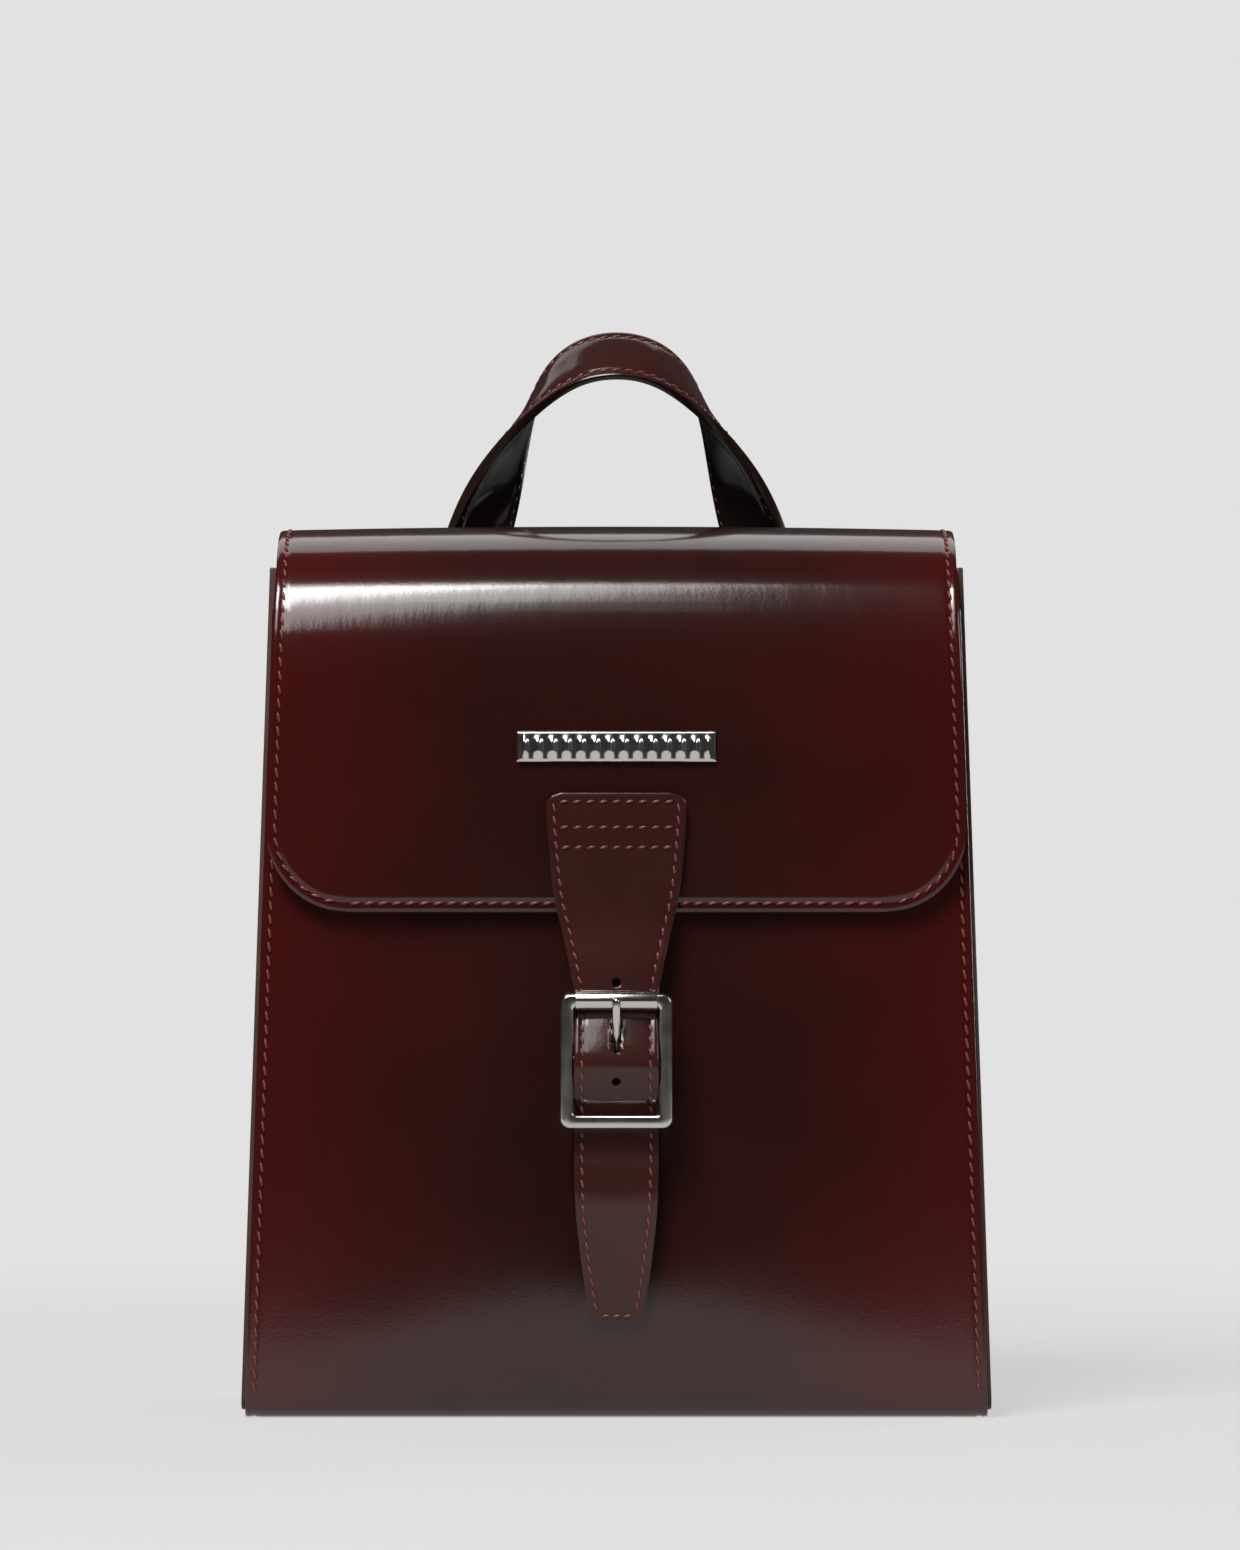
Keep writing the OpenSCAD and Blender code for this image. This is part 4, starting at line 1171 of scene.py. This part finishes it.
def place_handle(u, v):
    middle, wide, face = handle_full[v]
    edge = HANDLE_HALF_W - abs(u)
    crown = 0.45 * MM * smooth(edge / (7 * MM))
    out = HANDLE_T / 2 - groove(edge, 2.2 * MM, 0.3 * MM) + crown
    return middle + wide * u + face * out


handle_us = stations(-HANDLE_HALF_W, HANDLE_HALF_W, 1 * MM, 0.5 * MM, 4 * MM)
# The handle's edges take the darker copy of the edge paint, which is partly painted shade.
handle = sheet_piece("handle_leather", handle_us, range(len(handle_full)), place_handle,
                     ((0, 0.0273, 0.304), (0, -0.5, 1)), HANDLE_T,
                     [strap_leather, handle_edge_paint_and_shade, flesh_side], bevel=0.5 * MM)
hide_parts("handle_strap", "handle_end_left", "handle_end_right")


def bend_at_handle(piece):
    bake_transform(piece)


bend_at_handle(handle)
handle_rows = []
for s in (-1, 1):
    for outside in (1, -1):
        row = []
        for middle, wide, face in handle_full:
            lift = HANDLE_T / 2 - 0.1 * MM
            spot = middle + wide * s * (HANDLE_HALF_W - 2.2 * MM) + face * outside * lift
            row.append((spot, face * outside))
        handle_rows.append(row)
handle_stitches = stitches("handle_stitches", handle_rows, thread, pitch=3.6 * MM,
                           length=2.7 * MM, radius=0.36 * MM)
bend_at_handle(handle_stitches)


def place_patch(u, v):
    beyond = max(min(v - PATCH_LOW, PATCH_HIGH - v), 0)
    x = u * rounded(PATCH_HALF_W, beyond, PATCH_CORNER_R)
    edge = edge_distance(x, PATCH_HALF_W, beyond, PATCH_CORNER_R)
    leg = abs(x) - (HANDLE_FOOT_X + (HANDLE_Z - v) * FOOT_SLOPE)
    beside = max(abs(leg) - HANDLE_HALF_W, PATCH_LOW + 5 * MM - v, 0)
    rise = 3.0 * MM * smooth(1 - beside / (4.5 * MM))
    out = 1.75 * MM + rise - groove(edge)
    return Vector((x, rear_y(v) + out, v))


patch_us = [i / 150 for i in range(-150, 151)]
patch_vs = stations(PATCH_LOW, PATCH_HIGH, 1.2 * MM, 0.5 * MM, 9 * MM)
patch = sheet_piece("handle_patch_leather", patch_us, patch_vs, place_patch,
                    ((0, 0.043, 0.215), (0, 1, 0)), 1.5 * MM, red_sheet)
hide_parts("handle_patch")
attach(patch, "root")
patch_rows = []
for z in (PATCH_LOW + STITCH_IN, PATCH_HIGH - STITCH_IN):
    patch_rows.append([(place_patch(x / 60, z) + Vector((0, 0.32 * MM, 0)), (0, 1, 0))
                       for x in range(-60, 61)])
for s in (-1, 1):
    row = []
    for z in [k * MM for k in range(202, 229)]:
        beyond = min(z - PATCH_LOW, PATCH_HIGH - z) - STITCH_IN
        x = s * rounded(PATCH_HALF_W - STITCH_IN, beyond, PATCH_CORNER_R - STITCH_IN)
        row.append(((x, place_patch(s * 0.965, z).y + 0.3 * MM, z), (0, 1, 0)))
    patch_rows.append(row)
patch_stitches = stitches("handle_patch_stitches", patch_rows, thread)
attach(patch_stitches, "root")

# ---- Carrying strap rings ----
# Four nickel D-rings of round wire on the back. Each hangs in a folded leather tab that is sewn
# to the back panel.
RING_WIRE_R = 1.4 * MM
RING_R = 10.4 * MM
RING_SIDE = 4 * MM
TAB_T = 1.4 * MM
TAB_HALF_W = 7.5 * MM
TAB_MID = 2.4 * MM
TAB_LENGTH = 19 * MM
BACK_LEAN = math.atan(LEAN / MOUTH_Z)
tab_points = ([(-TAB_MID, TAB_LENGTH)] + arc((0, 0), TAB_MID, 180, 360, 14)
              + [(1.6 * MM, 3.5 * MM), (-0.2 * MM, 6.6 * MM), (-0.9 * MM, 9 * MM),
                 (-0.9 * MM, TAB_LENGTH)])
tab_line = even(tab_points, 0.6 * MM)
tab_sides = left_of(tab_line)
ring_ys = {"upper": 44.101 * MM, "lower": 47.101 * MM}
ring_places = {"upper_left": (-26 * MM, 164 * MM), "upper_right": (26 * MM, 164 * MM),
               "lower_left": (-80 * MM, 44 * MM), "lower_right": (80 * MM, 44 * MM)}
tab_us = stations(-TAB_HALF_W, TAB_HALF_W, 1 * MM, 0.5 * MM, 3.5 * MM)
for name, (ring_x, ring_z) in ring_places.items():
    ring_y = ring_ys[name.split("_")[0]]
    wire = [(ring_x + RING_R - 2 * RING_R * i / 20, ring_y, ring_z) for i in range(1, 20)]
    wire += [(ring_x - RING_R + 0.5 * MM, ring_y, ring_z - 0.1 * MM),
             (ring_x - RING_R, ring_y, ring_z - 0.6 * MM)]
    wire += [(x, ring_y, z) for x, z in arc((ring_x, ring_z - RING_SIDE), RING_R, 180, 360, 40)]
    wire += [(ring_x + RING_R, ring_y, ring_z - 0.6 * MM),
             (ring_x + RING_R - 0.5 * MM, ring_y, ring_z - 0.1 * MM)]
    ring = joined("ring_" + name + "_wire",
                  [tube_mesh("wire", wire, [RING_WIRE_R] * len(wire), closed=True)], [nickel])
    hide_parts("ring_" + name)
    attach(ring, "ring_" + name)
    lean = Matrix.Translation((ring_x, ring_y, ring_z)) @ Matrix.Rotation(BACK_LEAN, 4, "X")

    def place_tab(u, v, lean=lean):
        spot, side = tab_line[v], tab_sides[v]
        edge = min(TAB_HALF_W - abs(u), TAB_LENGTH - spot.y)
        out = TAB_T / 2 - groove(edge, 1.9 * MM, 0.2 * MM)
        return lean @ off_line(u, spot, side, out)

    tab = sheet_piece("tab_" + name + "_leather", tab_us, range(len(tab_line)), place_tab,
                      (lean @ Vector((0, 0, 15 * MM)), (0, 1, 0)), TAB_T,
                      dark_sheet, bevel=0.25 * MM)
    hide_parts("tab_" + name)
    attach(tab, "root")
    tab_rows = []
    for s in (-1, 1):
        tab_rows.append([(lean @ Vector((s * 5.6 * MM, -0.15 * MM, z * MM)), (0, 1, 0.03))
                         for z in (9.5, 13, 17.2)])
    for z in (9.5, 17.2):
        tab_rows.append([(lean @ Vector((x * MM, -0.15 * MM, z * MM)), (0, 1, 0.03))
                         for x in (-5.2, 0, 5.2)])
    tab_stitches = stitches("tab_" + name + "_stitches", tab_rows, thread, pitch=2.9 * MM,
                            length=2.1 * MM, lean=0)
    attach(tab_stitches, "root")
